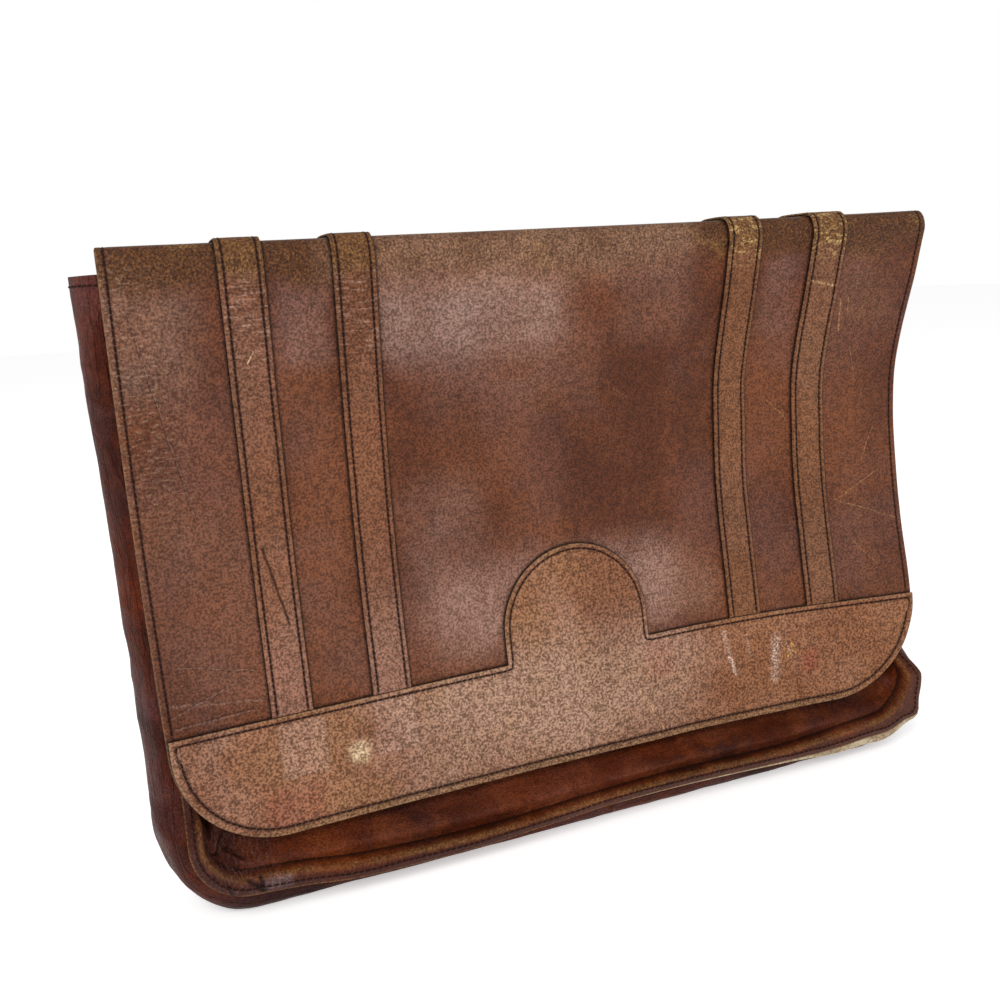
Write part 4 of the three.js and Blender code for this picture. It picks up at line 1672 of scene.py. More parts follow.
def band_marks(brush: Brush) -> None:
    """Adds the band's pressed squares, pale spot, scuffs and stains.

    Args:
        brush: The band's brush.
    """
    g = brush.g
    brush.paint(brush.zone(brush.x, 0, 110), 0.5, tone(122, 76, 44))
    dusty = brush.rough(brush.patch((-10, 34), (56, 10), 40)["Mask"], 0.35, 0.62, 0.3)
    brush.paint(dusty, 0.5, tone(164, 138, 118))
    tab = brush.both(brush.zone(brush.run, 70, 95), brush.zone(g.magnitude(brush.x), 50, 30))
    brush.paint(tab, 0.35, tone(122, 80, 50))
    for centre, half in (((-143, 40), (9.5, 12)), ((-98.5, 40.5), (9.5, 12))):
        square = brush.patch(centre, half, 3.0)
        brush.paint(brush.rough(square["Mask"], least=0.3), 0.3, tone(186, 156, 140))
        brush.paint(brush.rough(square["Rim"]), 0.5, tone(98, 60, 42))
        brush.press(square["Mask"], 0.9)
    brush.paint(brush.patch((-117.5, 31.5), (1.2, 1.2), 6.5)["Mask"], 0.75, tone(196, 172, 136))
    for start, end, width, share in BAND_SCUFFS:
        brush.paint(brush.rough(brush.line(start, end, width), 0.4, 0.62, 0.1), share, tone(210, 188, 172))
    veins = g.noise(g.stretched(brush.place, (1.0, 0.4, 1.0), 20.0), 420.0, 3.0, 0.7)
    yellow = brush.both(brush.patch((123, 35), (1, 3), 5)["Mask"], g.step(veins, 0.52, 0.62))
    brush.paint(yellow, 0.6, tone(190, 146, 72))
    for centre, half, soft, share in BAND_STAINS:
        brush.paint(brush.patch(centre, half, soft)["Mask"], share, tone(128, 52, 34))
    brush.paint(brush.line((31, 30), (46, 2), 0.5), 0.5, tone(200, 156, 96))
    low = brush.zone(brush.run, 4.8, 3.2)
    olive = g.blend(g.step(brush.fine, 0.38, 0.66), tone(84, 52, 28), tone(142, 112, 76))
    brush.paint(low, 0.55, olive)


def strip_marks(brush: Brush) -> None:
    """Adds the strips' cross wrinkles below the fold, worn fold, crack and scratch.

    Args:
        brush: The strips' brush.
    """
    g = brush.g
    left, right = brush.zone(brush.x, 0, -60), brush.zone(brush.x, 0, 60)
    high = brush.both(brush.zone(brush.run, 195, 235), brush.zone(brush.run, 264, 250), left)
    brush.wrinkles(high, (0.14, 1.0, 1.0), 4.0, 2.0, tone(176, 142, 122), 0.4)
    brush.paint(right, 0.35, tone(106, 70, 38))
    pale = brush.rough(brush.both(left, brush.zone(brush.run, 130, 70)))
    brush.paint(pale, 0.5, tone(152, 118, 104))
    fold = brush.both(brush.zone(brush.run, 246, 254), brush.zone(brush.run, 330, 300))
    olive = g.blend(g.step(brush.fine, 0.34, 0.7), tone(70, 40, 17), tone(122, 88, 44))
    brush.paint(fold, 0.75, olive)
    flakes = g.step(g.noise(g.stretched(brush.place, (0.5, 1.0, 1.0)), 420.0, 4.0, 0.8), 0.52, 0.6)
    worn = brush.both(right, flakes, brush.zone(brush.run, 238, 250), brush.zone(brush.run, 330, 300))
    brush.paint(worn, 0.65, tone(176, 144, 92))
    brush.paint(brush.rough(brush.line((139, 232), (153, 229), 1.2)), 0.7, tone(184, 152, 104))
    crack = brush.line((-150.3, 134), (-142.5, 98), 0.8)
    brush.paint(crack, 0.8, tone(44, 18, 10))
    brush.press(crack, 2.0)
    brush.paint(brush.line((-144.8, 219.6), (-147.4, 215.0), 0.5), 0.6, tone(206, 174, 134))


def panel_marks(brush: Brush) -> None:
    """Adds the panel's rough ochre ridge, painted shade in the groove and the corner's wrinkles.

    Args:
        brush: The front panel's brush.
    """
    g = brush.g
    ridge = g.add("ShaderNodeAttribute", attribute_name=RIDGE_ATTRIBUTE).outputs["Fac"]
    out = g.step(ridge, -3.0, -0.8)
    top = brush.both(out, g.step(ridge, 0.4, 2.4, 1.0, 0.0))
    patchy = g.step(g.noise(brush.place, 60.0, 4.0, 0.7), 0.36, 0.6, 0.45, 1.0)
    brush.paint(brush.rough(brush.both(top, patchy), 0.36, 0.64, 0.2), 0.75, tone(122, 84, 44))
    skirt = g.step(ridge, 1.2, 3.0)
    brush.paint(skirt, 0.75, tone(60, 27, 21))
    brush.paint(brush.both(skirt, brush.rough(g.step(brush.x, -0.06, 0.03))), 0.6, tone(84, 42, 20))
    # Painted shade: near black along the groove between the panel and its welt.
    groove = g.step(g.magnitude(g.plus(ridge, 6.4)), 0.5, 4.0, 1.0, 0.0)
    brush.paint(groove, 0.8, tone(20, 7, 3))
    near = g.step(g.magnitude(ridge), 1.0, 5.0, 1.0, 0.0)
    brush.wrinkles(near, (1.0, 0.3, 1.0), 0.0, 1.4, tone(132, 92, 54), 0.25)
    corner = brush.patch((-180, 32), (8, 14), 18)["Mask"]
    brush.wrinkles(corner, (1.0, 0.35, 1.0), 35.0, 3.0, tone(110, 76, 70), 0.5)
    brush.paint(brush.rough(corner), 0.3, tone(72, 42, 40))
    # Painted shade in the corner's notch and creases, which are also pressed in.
    for start, end, width, share in (
        ((-175, 18.0), (-169, 11.5), 1.8, 0.85),
        ((-169.5, 18.5), (-169, 11.5), 1.3, 0.85),
        ((-186, 18), (-183, 11), 1.6, 0.7),
        ((-180, 48), (-188, 40), 1.6, 0.6),
        ((-183, 38), (-176, 31), 1.4, 0.5),
    ):
        mark = brush.line(start, end, width)
        brush.paint(mark, share, tone(16, 8, 8))
        brush.press(mark, 3.0)
    # Painted sheen on the welt near the left corner.
    brush.paint(brush.rough(brush.patch((-162, 14), (4, 1), 4)["Mask"]), 0.55, tone(124, 110, 110))


def gusset_marks(brush: Brush) -> None:
    """Adds the gusset's painted purple sheen and its long soft creases with painted shade.

    Args:
        brush: The gusset's brush.
    """
    g = brush.g
    long = g.noise(g.stretched(brush.place, (0.12, 1.0, 1.0), 0.0), 120.0, 3.0, 0.6)
    crease = g.step(g.magnitude(g.minus(long, 0.5)), 0.0, 0.05, 1.0, 0.0)
    brush.press(crease, 0.9)
    # Painted shade along each crease.
    brush.paint(crease, 0.4, tone(38, 14, 10))
    cloud = g.step(g.noise(brush.place, 26.0, 3.0, 0.6), 0.5, 0.68)
    # Painted sheen: purplish patches that stand in for reflections.
    brush.paint(brush.rough(cloud), 0.35, tone(98, 66, 68))


class Wardrobe:
    """The materials of all the pieces."""

    def __init__(self) -> None:
        """Builds the materials."""
        effects = Effects()
        flap = LeatherLook(
            "flap_leather", deep=tone(82, 42, 22), base=tone(102, 58, 33), light=tone(112, 63, 36),
            haze=tone(100, 70, 62), haze_share=0.3, rubbed=tone(128, 98, 66), rubbed_width=1.1,
            worn=0.5, rough=0.46, speckle=0.68, stitch_line=3.2,
        )
        strip = LeatherLook(
            "strip_leather", deep=tone(98, 59, 37), base=tone(116, 74, 49), light=tone(126, 78, 54),
            haze=tone(120, 88, 72), haze_share=0.3, rubbed=tone(122, 88, 58), rubbed_width=0.9,
            worn=0.35, stitch_line=2.3, rough=0.56, speckle=0.75, scratches=0.2,
        )
        band = LeatherLook(
            "band_leather", deep=tone(114, 74, 52), base=tone(132, 93, 64), light=tone(140, 96, 70),
            haze=tone(146, 114, 96), haze_share=0.4, rubbed=tone(152, 122, 90), rubbed_width=1.0,
            worn=0.45, stitch_line=2.4, rough=0.66, speckle=0.85, freckle=0.7, scratches=0.25,
            cells=900.0,
        )
        panel = LeatherLook(
            "panel_leather", deep=tone(52, 17, 5), base=tone(88, 36, 11), light=tone(112, 53, 18),
            haze=tone(80, 46, 40), haze_share=0.25, rubbed=tone(140, 106, 60), rubbed_width=0.8,
            worn=0.5, stitch_line=3.4, rough=0.36, speckle=0.5, seam=0.3, shine=0.12,
        )
        gusset = LeatherLook(
            "gusset_leather", deep=tone(44, 15, 8), base=tone(78, 30, 14), light=tone(96, 42, 18),
            haze=tone(74, 42, 40), haze_share=0.3, rubbed=tone(120, 84, 46), rubbed_width=0.8,
            worn=0.5, stitch_line=3.4, rough=0.4, speckle=0.45, wrinkle_depth=0.5, seam=0.5,
            shine=0.06,
        )
        self.grain = {
            Finish.FLAP: leather_material(flap, effects, flap_marks),
            Finish.STRIP: leather_material(strip, effects, strip_marks),
            Finish.BAND: leather_material(band, effects, band_marks),
            Finish.PANEL: leather_material(panel, effects, panel_marks),
            Finish.GUSSET: leather_material(gusset, effects, gusset_marks),
        }
        self.flesh = FibreLook("flesh_side", tone(194, 178, 150), tone(136, 114, 88)).material()
        self.edge = FibreLook("cut_edge", tone(160, 132, 94), tone(90, 62, 38), 380.0).material()
        self.thread = FibreLook("thread", tone(46, 17, 8), tone(20, 6, 3), 1500.0, 0.7, 0.0002).material()

    def dress(self, item: bpy.types.Object, finish: Finish) -> None:
        """Gives a sheet its grain side, flesh side and cut edge."""
        for material in (self.grain[finish], self.flesh, self.edge):
            item.data.materials.append(material)


STITCH_RINGS = (0, 0.25, 0.6, 1.1, 1.8, 2.4, 2.8, 3.2, 3.8, 5.0)
Row = tuple[np.ndarray, np.ndarray]


@dataclass(frozen=True)
class Cut:
    """The flat cut that a sheet was made from.

    Attributes:
        width: Width of the cut in metres.
        length: Length of the cut in metres.
        area: Area of the cut in square metres.
        held: How the sheet is held.
        rests_on: Nodes that it lies on or is sewn to.
    """

    width: float
    length: float
    area: float
    held: str
    rests_on: tuple[str, ...]


class Workshop:
    """Finishes sheets: leather, stitches, their place on the frame's body and a log of their cut."""

    def __init__(self) -> None:
        """Makes the materials and the stitch that all the seams repeat."""
        self.wardrobe = Wardrobe()
        self.stitcher = Stitcher(Thread())

    def finish(
        self,
        item: bpy.types.Object,
        finish: Finish,
        node: str,
        thickness: float,
        seams: list[Row],
        cut: Cut,
    ) -> bpy.types.Object:
        """Turns a sheet into a sewn piece of leather.

        Args:
            item: The sheet, its faces pointing out.
            finish: The slot that gives its leather.
            node: The node that it stands for.
            thickness: Thickness of the leather in millimetres.
            seams: Rows of stitches, as points and normals.
            cut: The flat cut.

        Returns:
            The piece.
        """
        self.wardrobe.dress(item, finish)
        give_thickness(item, thickness)
        only(item)
        bpy.ops.object.shade_smooth_by_angle(angle=math.radians(50))
        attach(item, BODY)
        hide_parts(node)
        sewn = self.stitcher.sew(node + "_stitches", seams)
        sewn.data.materials.append(self.wardrobe.thread)
        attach(sewn, BODY)
        size = f"cut {cut.width * 1000:.0f} x {cut.length * 1000:.0f} mm, {cut.area * 1e4:.0f} cm2"
        log.info("%s: %d faces, %s", item.name, len(item.data.polygons), size)
        return item


def flat_cut(outline: np.ndarray, held: str, rests_on: tuple[str, ...]) -> Cut:
    """The cut of a piece whose flat outline is known in millimetres.

    Args:
        outline: The outline.
        held: How the sheet is held.
        rests_on: Nodes that it lies on.

    Returns:
        The cut.
    """
    width, length = outline.max(0) - outline.min(0)
    x, y = outline.T
    area = abs(np.dot(x, np.roll(y, -1)) - np.dot(y, np.roll(x, -1))) / 2
    return Cut(width * MM, length * MM, area * MM * MM, held, rests_on)


def surface_area(item: bpy.types.Object) -> float:
    """Area of a sheet before it gets its thickness, in square metres."""
    return sum(face.area for face in item.data.polygons)


def row_length(points: np.ndarray) -> float:
    """Length of a line of points."""
    return float(np.linalg.norm(np.diff(points, axis=0), axis=1).sum())


def run_along(rows: np.ndarray, axis: int) -> np.ndarray:
    """Run of each grid point along one way of the grid, from 0.

    Args:
        rows: The grid.
        axis: The way to go, 0 or 1.

    Returns:
        The run at each point.
    """
    steps = np.linalg.norm(np.diff(rows, axis=axis), axis=2)
    start = np.zeros_like(steps[:1] if axis == 0 else steps[:, :1])
    return np.concatenate([start, np.cumsum(steps, axis=axis)], axis=axis)


@dataclass
class Piece:
    """A piece of the case.

    Attributes:
        form: The form that it is laid over.
        workshop: Where it is finished.
    """

    form: CaseForm
    workshop: Workshop


@dataclass
class BackAndFlap(Piece):
    """The hide that makes the back panel and the flap."""

    stitch_line: float = 3.2

    def outline(self) -> np.ndarray:
        """The hide's outline in x and run.

        Returns:
            Its points.
        """
        s, full = self.form.sizes, self.form.full_run
        front, back = s.flap_corner, s.back_corner
        corners = np.vstack(
            [
                arc((s.half - front, front), front, -90, 0),
                arc((s.half - back, full - back), back, 0, 90),
                arc((-s.half + back, full - back), back, 90, 180),
                arc((-s.half + front, front), front, 180, 270),
            ]
        )
        line = fine_line(corners, 1.8)
        share = np.clip(line[:, 1] / self.form.flap_run, 0, 1)
        bow = s.left_bow * np.sin(math.pi * share) * smooth_step(-line[:, 0], 0, s.half)
        line[:, 0] -= bow
        return line

    def seams(self, outline: np.ndarray) -> list[Row]:
        """The row of stitches round the hide, above the band.

        Args:
            outline: The hide's outline.

        Returns:
            The row.
        """
        line = inset_line(outline, self.stitch_line)
        line = kept_stretch(line, line[:, 1] > BAND_TOP + 1.5)
        rise = np.full(len(line), -0.3)
        x, run = line.T
        return [(self.form.raised(x, run, rise), self.form.normal(x, run))]

    def build(self) -> bpy.types.Object:
        """Builds the hide.

        Returns:
            The piece.
        """
        outline = self.outline()
        cut = CutPiece(outline, STITCH_RINGS, (3.6, 6.0), self.form.panel_start)
        flat, faces = cut.triangulated()
        distance = edge_distance(flat, outline)
        rise = rounded_edge(distance) + stitch_groove(distance, self.stitch_line)
        item = new_object("flap_hide", self.form.raised(flat[:, 0], flat[:, 1], rise), faces)
        set_uv(item, flat)
        set_attribute(item, EDGE_ATTRIBUTE, distance)
        made = flat_cut(outline, "folded", ("gusset_left", "gusset_right"))
        wall = self.form.sizes.hide_leather
        seams = self.seams(outline)
        return self.workshop.finish(item, Finish.FLAP, "back_and_flap", wall, seams, made)


@dataclass
class Trim(Piece):
    """A cut of thinner leather that is sewn flat on the hide."""

    def lay(
        self,
        outline: np.ndarray,
        rings: tuple[float, ...],
        spacing: float,
        line: Callable[[np.ndarray], np.ndarray],
    ) -> tuple[np.ndarray, np.ndarray, np.ndarray, np.ndarray]:
        """Lays a cut on the hide.

        Args:
            outline: Its outline in x and run.
            rings: Distances from the edge at which the mesh has points.
            spacing: Distance between the points inside.
            line: Gives the distance of the stitches from the edge at a run.

        Returns:
            Its flat points, its faces, its points on the case and their edge distances.
        """
        flat, faces = CutPiece(outline, rings, (spacing, spacing)).triangulated()
        distance = edge_distance(flat, outline)
        s = self.form.sizes
        rise = s.layer_gap + s.trim_leather + rounded_edge(distance, 0.7)
        rise = rise + stitch_groove(distance, line(flat[:, 1]))
        return flat, faces, self.form.raised(flat[:, 0], flat[:, 1], rise), distance

    def seam(self, line: np.ndarray) -> Row:
        """A row of stitches along a line in x and run.

        Args:
            line: The line.

        Returns:
            Its points on the case and their normals.
        """
        s = self.form.sizes
        x, run = line.T
        rise = np.full(len(line), s.layer_gap + s.trim_leather - 0.3)
        return self.form.raised(x, run, rise), self.form.normal(x, run)


@dataclass
class FlapBand(Trim):
    """The band along the flap's lower edge, with its round tab."""

    height: float = BAND_TOP
    tab_radius: float = TAB_RADIUS
    tab_rise: float = TAB_RISE
    top_line: float = 2.4
    low_line: float = 4.0

    def outline(self) -> np.ndarray:
        """The band's outline in x and run.

        Returns:
            Its points.
        """
        s = self.form.sizes
        half, corner = s.half, s.flap_corner
        centre = self.height + self.tab_rise - self.tab_radius
        corners = np.vstack(
            [
                arc((half - corner, corner), corner, -90, 0),
                [(half, self.height), (self.tab_radius, self.height)],
                arc((0, centre), self.tab_radius, 0, 180),
                [(-self.tab_radius, self.height), (-half, self.height)],
                arc((-half + corner, corner), corner, 180, 270),
            ]
        )
        return fine_line(corners, 1.8)

    def stitch_line(self, run: np.ndarray) -> np.ndarray:
        """Distance of the stitches from the edge: wider along the flap's own edge."""
        return mix(self.low_line, self.top_line, smooth_step(run, 42, 52))

    def seams(self, outline: np.ndarray) -> list[Row]:
        """The rows of stitches along the flap's edge and along the top and the tab.

        Args:
            outline: The band's outline.

        Returns:
            Both rows.
        """
        low = inset_line(outline, self.low_line)
        low = kept_stretch(low, low[:, 1] < 47)
        top = inset_line(outline, self.top_line)
        top = kept_stretch(top, top[:, 1] > 51)
        return [self.seam(low), self.seam(top)]

    def build(self) -> bpy.types.Object:
        """Builds the band.

        Returns:
            The piece.
        """
        outline = self.outline()
        flat, faces, points, distance = self.lay(outline, STITCH_RINGS, 3.4, self.stitch_line)
        item = new_object("flap_band_leather", points, faces)
        set_uv(item, flat)
        stitched = distance * self.top_line / self.stitch_line(flat[:, 1])
        set_attribute(item, EDGE_ATTRIBUTE, stitched)
        made = flat_cut(outline, "laid", ("back_and_flap",))
        wall = self.form.sizes.trim_leather
        seams = self.seams(outline)
        return self.workshop.finish(item, Finish.BAND, "flap_band", wall, seams, made)


@dataclass
class FlapStrip(Trim):
    """One of the four strips that run from the band over the fold and down the back."""

    name: str
    middle: float
    width: float = STRIP_WIDTH
    stitch_line: float = 2.3
    start_gap: float = 0.3
    end_gap: float = 14.0

    def ends(self) -> tuple[float, float]:
        """Runs at which the strip starts and ends."""
        return BAND_TOP + self.start_gap, self.form.full_run - self.end_gap

    def outline(self) -> np.ndarray:
        """The strip's outline in x and run.

        Returns:
            Its points.
        """
        low = self.middle - self.width / 2
        high = self.middle + self.width / 2
        start, end = self.ends()
        return fine_line(np.array([(low, start), (high, start), (high, end), (low, end)]), 2.2)

    def seams(self) -> list[Row]:
        """The row of stitches up one side, across the end and down the other.

        Returns:
            The row.
        """
        low = self.middle - self.width / 2 + self.stitch_line
        high = self.middle + self.width / 2 - self.stitch_line
        start, end = self.ends()
        end -= self.stitch_line
        corners = np.array([(low, start + 1), (low, end), (high, end), (high, start + 1)])
        return [self.seam(even_line(corners, 2.0, False))]

    def build(self) -> bpy.types.Object:
        """Builds the strip.

        Returns:
            The piece.
        """
        outline = self.outline()
        rings = (0, 0.25, 0.6, 1.1, 1.7, 2.0, 2.3, 2.6, 3.2)
        flat, faces, points, distance = self.lay(
            outline, rings, 3.2, lambda run: np.full(run.shape, self.stitch_line)
        )
        item = new_object(self.name + "_leather", points, faces)
        set_uv(item, flat)
        sides = self.width / 2 - np.abs(flat[:, 0] - self.middle)
        set_attribute(item, EDGE_ATTRIBUTE, np.minimum(sides, self.ends()[1] - flat[:, 1]))
        made = flat_cut(outline, "laid", ("back_and_flap",))
        wall = self.form.sizes.trim_leather
        return self.workshop.finish(item, Finish.STRIP, self.name, wall, self.seams(), made)


def refined(rows: np.ndarray, count: int) -> np.ndarray:
    """Rows of points with smooth rows added between them.

    Args:
        rows: Grid of points, first by row.
        count: Number of rows to make.

    Returns:
        The finer grid, its rows evenly spaced along the middle of the old ones.
    """
    steps = np.linalg.norm(np.diff(rows, axis=0), axis=2).mean(1)
    stops = np.concatenate([[0], np.cumsum(np.maximum(steps, 1e-3))])
    flat = rows.reshape(len(rows), -1)
    places = np.linspace(0, stops[-1], count)
    made = [curve_through(stops, flat, np.full(flat.shape[1], at)) for at in places]
    return np.array(made).reshape(count, *rows.shape[1:])


@dataclass
class FrontPanel(Piece):
    """The front panel with the welt turned out round three sides."""

    welt_rows: int = 24
    seam_inset: float = 3.4
    far: float = 30.0

    def depth(self, line: GrooveLine, x: np.ndarray, z: np.ndarray) -> np.ndarray:
        """Depth of the panel inside its groove.

        Args:
            line: The groove.
            x: Place across the case.
            z: Height.

        Returns:
            The depth.
        """
        s = self.form.sizes
        edge = s.half - s.groove_inset
        cover = self.form.flap_depth(x, s.height - z) + s.hide_leather + s.panel_clear
        open_share = 1 - smooth_step(z, s.flap_end - 1.5 * s.bulge_reach, s.flap_end - s.panel_clear)
        loss = 1 - s.bulge_loss * (np.abs(x) / edge) ** s.bulge_power
        inner = mix(cover, -s.bulge_reach, open_share * loss)
        side = line.depth(np.where(x < 0, -1.0, 1.0), z)
        from_side = smooth_step(edge - np.abs(x), 0, 0.4 * s.groove_corner)
        from_base = smooth_step(z - s.groove_height - line.lift(x, z), 0, s.bulge_reach)
        swell = 0.9 * value_noise(x, z, 23, 11) + 0.3 * value_noise(x, z, 8, 12)
        inside = np.minimum(from_side, from_base)
        return mix(side, inner, inside) + swell * inside * (0.35 + 0.65 * open_share)

    def patch(self, line: GrooveLine) -> np.ndarray:
        """Grid of the panel inside its groove, from its top hem down.

        Args:
            line: The groove.

        Returns:
            The grid, first by row.
        """
        border = line.points
        down = line.covered + line.free + line.half_turn
        across = len(border) - 1 - 2 * down
        u = (np.arange(across + 1) / across)[None, :, None]
        v = (np.arange(down + 1) / down)[:, None, None]
        left, right = border[: down + 1], border[::-1][: down + 1]
        base = border[down : down + across + 1]
        top = mix(border[0], border[-1], u)
        sides = mix(left[:, None], right[:, None], u)
        corners = mix(top, mix(base[0], base[-1], u), v)
        made = mix(top, base[None], v) + sides - corners
        made[:-1, 1:-1, 1] = self.depth(line, made[:-1, 1:-1, 0], made[:-1, 1:-1, 2])
        return made

    def welt(self, line: GrooveLine) -> np.ndarray:
        """Rows of the welt, from the groove out to its edge, a little uneven.

        Args:
            line: The groove.

        Returns:
            The rows.
        """
        s = self.form.sizes
        rows = np.array(
            [
                line.outside(line.welt_out(out), -forward * s.welt_rise)
                for out, forward in zip(WELT_OUT, WELT_FORWARD)
            ]
        )
        made = refined(rows, self.welt_rows)
        share = (np.arange(self.welt_rows) / (self.welt_rows - 1))[:, None]
        place = np.cumsum(np.linalg.norm(np.diff(line.points, axis=0, prepend=line.points[:1]), axis=1))
        along = np.broadcast_to(place[None], made.shape[:2])
        out = share * np.full(along.shape, 16.0)
        bump = 0.55 * value_noise(along, out, 9, 21) + 0.3 * value_noise(along, out * 0.4, 3.5, 22)
        made[..., 1] += bump * np.sin(math.pi * np.minimum(share * 1.4, 1))
        return made

    def build(self) -> bpy.types.Object:
        """Builds the panel.

        Returns:
            The piece.
        """
        s = self.form.sizes
        line = GrooveLine(self.form, None, 0, s.hem_drop)
        patch, welt = self.patch(line), self.welt(line)
        height, width = patch.shape[:2]
        index = np.arange(height * width).reshape(height, width)
        a = index[:-1, :-1].ravel()
        quads = [np.stack([a, a + width, a + width + 1, a + 1], 1)]
        ring = np.concatenate([index[:-1, 0], index[-1], index[:-1, -1][::-1]])
        out = run_along(welt, 0)
        ridge = np.full(len(ring), s.welt_rise)
        down = run_along(patch, 0)
        unrolled = np.stack([patch[..., 0], patch[-1:, :, 2] + down[-1:] - down], -1)
        points, flats = [patch.reshape(-1, 3)], [unrolled.reshape(-1, 2)]
        around = flats[0][ring]
        edges = [np.full(height * width, self.far)]
        ridges = [np.full(height * width, -self.far)]
        ridges[0][ring] = -ridge
        count = height * width
        for row, run in zip(welt[1:], out[1:]):
            following = np.arange(len(row)) + count
            points.append(row)
            flats.append(around + line.normals[:, [0, 2]] * run[:, None])
            edges.append(out[-1] - run)
            ridges.append(run - ridge)
            count += len(row)
            quads.append(np.stack([ring[:-1], following[:-1], following[1:], ring[1:]], 1))
            ring = following
        item = new_object("front_panel_leather", np.vstack(points), np.vstack(quads))
        set_uv(item, np.vstack(flats))
        set_attribute(item, EDGE_ATTRIBUTE, np.concatenate(edges))
        set_attribute(item, RIDGE_ATTRIBUTE, np.concatenate(ridges))
        turned = float(out[-1].mean())
        cut = Cut(
            (row_length(patch[height // 2]) + 2 * turned) * MM,
            (row_length(patch[:, width // 2]) + turned) * MM,
            surface_area(item),
            "stretched",
            ("gusset_left", "gusset_right"),
        )
        sewn = [self.welt_seam(welt, out), (patch[1, 1:-1], -grid_normals(patch)[1, 1:-1])]
        return self.workshop.finish(item, Finish.PANEL, "front_panel", s.panel_leather, sewn, cut)

    def welt_seam(self, welt: np.ndarray, out: np.ndarray) -> Row:
        """The row of stitches along the welt, inside its edge.

        Args:
            welt: The welt's rows.
            out: Run out from the groove.

        Returns:
            The row.
        """
        near = np.argmin(np.abs(out[-1][None] - out - self.seam_inset), axis=0)
        columns = np.arange(welt.shape[1])
        normals = grid_normals(welt)[near, columns]
        return welt[near, columns], normals * np.where(normals[:, 1:2] > 0, -1.0, 1.0)


@dataclass
class Gusset(Piece):
    """Half of the gusset: the margin behind the welt and the wall back to the back panel."""

    side: Side
    rows: int = 72

    def build(self) -> bpy.types.Object:
        """Builds the gusset half.

        Returns:
            The piece.
        """
        s = self.form.sizes
        end = s.gusset_seam + self.side.value * s.layer_gap / 2
        line = GrooveLine(self.form, self.side, end, s.gusset_drop)
        seat = s.panel_leather + s.seam_gap + s.gusset_leather
        rows = [
            line.outside(line.margin_out(along), seat * line.slant - forward * s.welt_rise)
            for along, forward in zip(MARGIN_ALONG, MARGIN_FORWARD)
        ]
        back = self.form.back_depth(line.points[:, 0], line.points[:, 2])
        inside = back - s.hide_leather - s.seam_gap
        for across, side_out, base_out in zip(GUSSET_ACROSS, GUSSET_SIDE, GUSSET_BASE):
            share = mix(side_out, base_out, line.under)
            ear = line.ear * max(1 - 4 * across, 0) * (1 - share)
            depth = across * (inside - line.points[:, 1])
            rows.append(line.outside(share * line.full + ear, depth))
        grid = refined(np.array(rows), self.rows)
        across, along = run_along(grid, 0), run_along(grid, 1)
        place = np.broadcast_to(along[self.rows // 2][None], across.shape)
        share = across / across[-1:]
        swell = 0.5 * value_noise(place, across, 21, 31) + 0.35 * value_noise(place, across, 7, 32)
        swell = swell * np.sin(math.pi * share) ** 0.7 * smooth_step(share, 0.12, 0.3)
        grid = grid + line.normals[None] * (swell * 0.9)[..., None]
        left = self.side is Side.LEFT
        name = "gusset_" + self.side.name.lower()
        faces = grid_faces(self.rows, grid.shape[1], left)
        item = new_object(name + "_leather", grid.reshape(-1, 3), faces)
        set_uv(item, np.stack([place.ravel() * self.side.value, across.ravel()], 1))
        set_attribute(item, EDGE_ATTRIBUTE, np.minimum(across, across[-1:] - across).ravel())
        normals = grid_normals(grid) * (-1.0 if left else 1.0)
        hem = slice(self.rows // 7, -3)
        cut = Cut(
            float(across[-1].mean()) * MM,
            float(along[self.rows // 2].max()) * MM,
            surface_area(item),
            "folded",
            ("back_and_flap", "front_panel"),
        )
        sewn = [(grid[hem, 1], normals[hem, 1])]
        return self.workshop.finish(item, Finish.GUSSET, name, s.gusset_leather, sewn, cut)


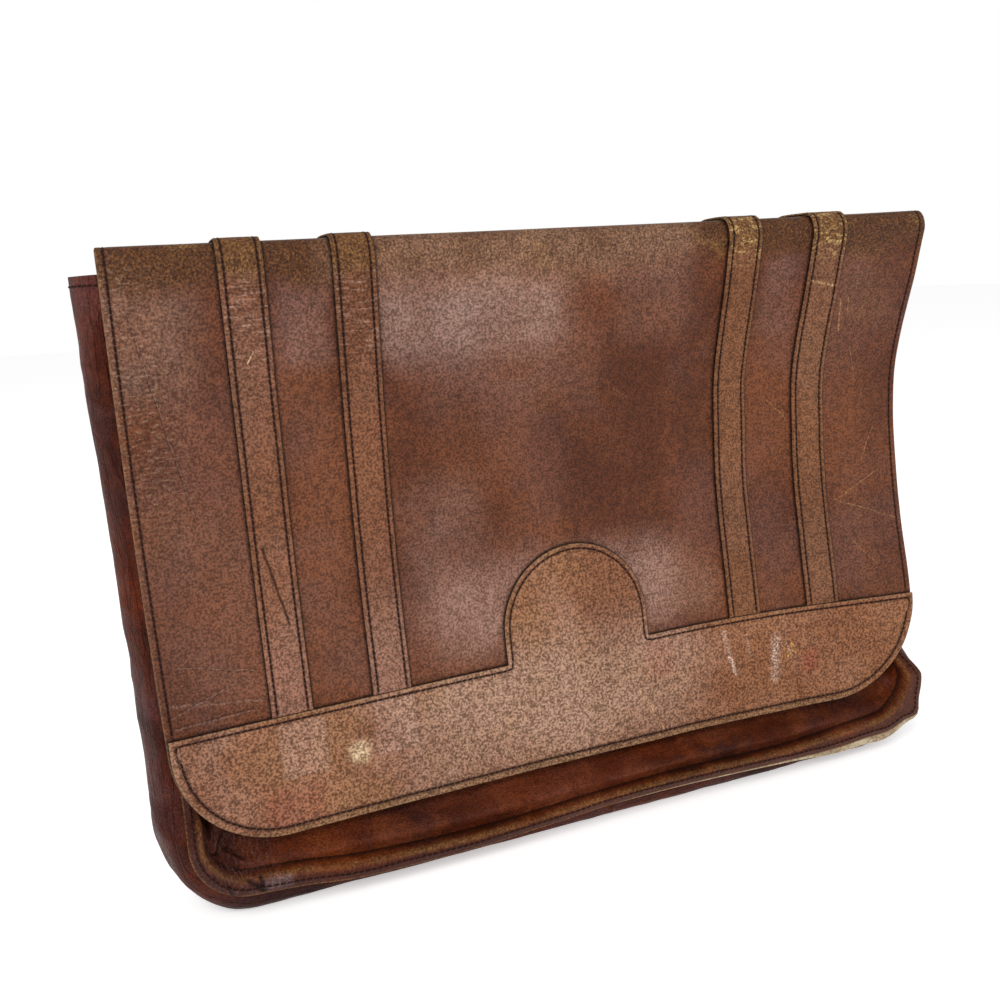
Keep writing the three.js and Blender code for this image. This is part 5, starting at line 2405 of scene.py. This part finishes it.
@dataclass(frozen=True)
class Studio:
    """The floor, the lights and the camera.

    Attributes:
        focal: The lens in millimetres, on a film 36 mm wide.
        place: The camera's place in millimetres.
        right: Direction to the right of its picture.
        up: Direction up in its picture.
        forward: Direction that it looks in.
        floor_glow: How much light the floor gives back by itself.
        surround: Strength of the light from all round.
    """

    focal: float = 34.56
    place: tuple[float, float, float] = (-186.76, -410.65, 277.06)
    right: tuple[float, float, float] = (0.93594, -0.34682, -0.06103)
    up: tuple[float, float, float] = (0.13410, 0.19075, 0.97244)
    forward: tuple[float, float, float] = (0.32562, 0.91833, -0.22504)
    floor_glow: float = 0.42
    surround: float = 0.75

    def add_camera(self) -> None:
        """Adds the camera at the photograph's viewing angle."""
        data = bpy.data.cameras.new("camera")
        data.lens, data.sensor_width = self.focal, 36
        data.clip_start, data.clip_end = 0.01, 50
        camera = bpy.data.objects.new("camera", data)
        bpy.context.scene.collection.objects.link(camera)
        axes = (Vector(self.right), Vector(self.up), -Vector(self.forward))
        matrix = Matrix(axes).transposed().to_4x4()
        matrix.translation = to_row(np.array(self.place))
        camera.matrix_world = matrix
        bpy.context.scene.camera = camera

    def add_floor(self) -> None:
        """Adds the pale floor."""
        bpy.ops.mesh.primitive_plane_add(size=12)
        floor = bpy.context.active_object
        floor.name = "floor"
        material, _, shader = new_material("floor")
        shader.inputs["Base Color"].default_value = (0.9, 0.9, 0.9, 1.0)
        shader.inputs["Roughness"].default_value = 0.9
        shader.inputs["Emission Color"].default_value = (1.0, 1.0, 1.0, 1.0)
        shader.inputs["Emission Strength"].default_value = self.floor_glow
        floor.data.materials.append(material)

    def add_light(
        self, name: str, place: tuple[float, float, float], size: float, power: float
    ) -> None:
        """Adds a soft light that faces the case.

        Args:
            name: Its name.
            place: Its place in metres.
            size: Its width.
            power: Its power in watts.
        """
        data = bpy.data.lights.new(name, "AREA")
        data.shape, data.size, data.energy = "DISK", size, power
        light = bpy.data.objects.new(name, data)
        bpy.context.scene.collection.objects.link(light)
        light.location = place
        aim = Vector((0, 0, 0.15)) - Vector(place)
        light.rotation_euler = aim.to_track_quat("-Z", "Y").to_euler()

    def add_world(self) -> None:
        """Adds an even white surround."""
        world = bpy.data.worlds.new("surround")
        world.use_nodes = True
        nodes, links = world.node_tree.nodes, world.node_tree.links
        shown = nodes["Background"]
        shown.inputs["Strength"].default_value = 1.0
        shown.inputs["Color"].default_value = (1, 1, 1, 1)
        fill = nodes.new("ShaderNodeBackground")
        fill.inputs["Strength"].default_value = self.surround
        path = nodes.new("ShaderNodeLightPath")
        both = nodes.new("ShaderNodeMixShader")
        links.new(path.outputs["Is Camera Ray"], both.inputs[0])
        links.new(fill.outputs[0], both.inputs[1])
        links.new(shown.outputs[0], both.inputs[2])
        links.new(both.outputs[0], nodes["World Output"].inputs[0])
        bpy.context.scene.world = world

    def build(self) -> None:
        """Sets up the whole studio."""
        self.add_camera()
        self.add_floor()
        self.add_world()
        self.add_light("key", (-1.1, -1.3, 1.7), 1.2, 26)
        self.add_light("fill", (1.5, -1.2, 0.9), 1.5, 8)
        bpy.context.scene.view_settings.view_transform = "Standard"


def main() -> None:
    """Builds the studio and the case, and reports each piece."""
    logging.basicConfig(level=logging.INFO, format="%(name)s: %(message)s")
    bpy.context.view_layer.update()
    Studio().build()
    form = CaseForm(CaseSizes())
    workshop = Workshop()
    BackAndFlap(form, workshop).build()
    FlapBand(form, workshop).build()
    outer, inner = STRIP_MIDDLES
    for name, middle in (
        ("strip_left_outer", -outer),
        ("strip_left_inner", -inner),
        ("strip_right_inner", inner),
        ("strip_right_outer", outer),
    ):
        FlapStrip(form, workshop, name, middle).build()
    FrontPanel(form, workshop).build()
    for side in Side:
        Gusset(form, workshop, side).build()


if __name__ == "__main__":
    main()
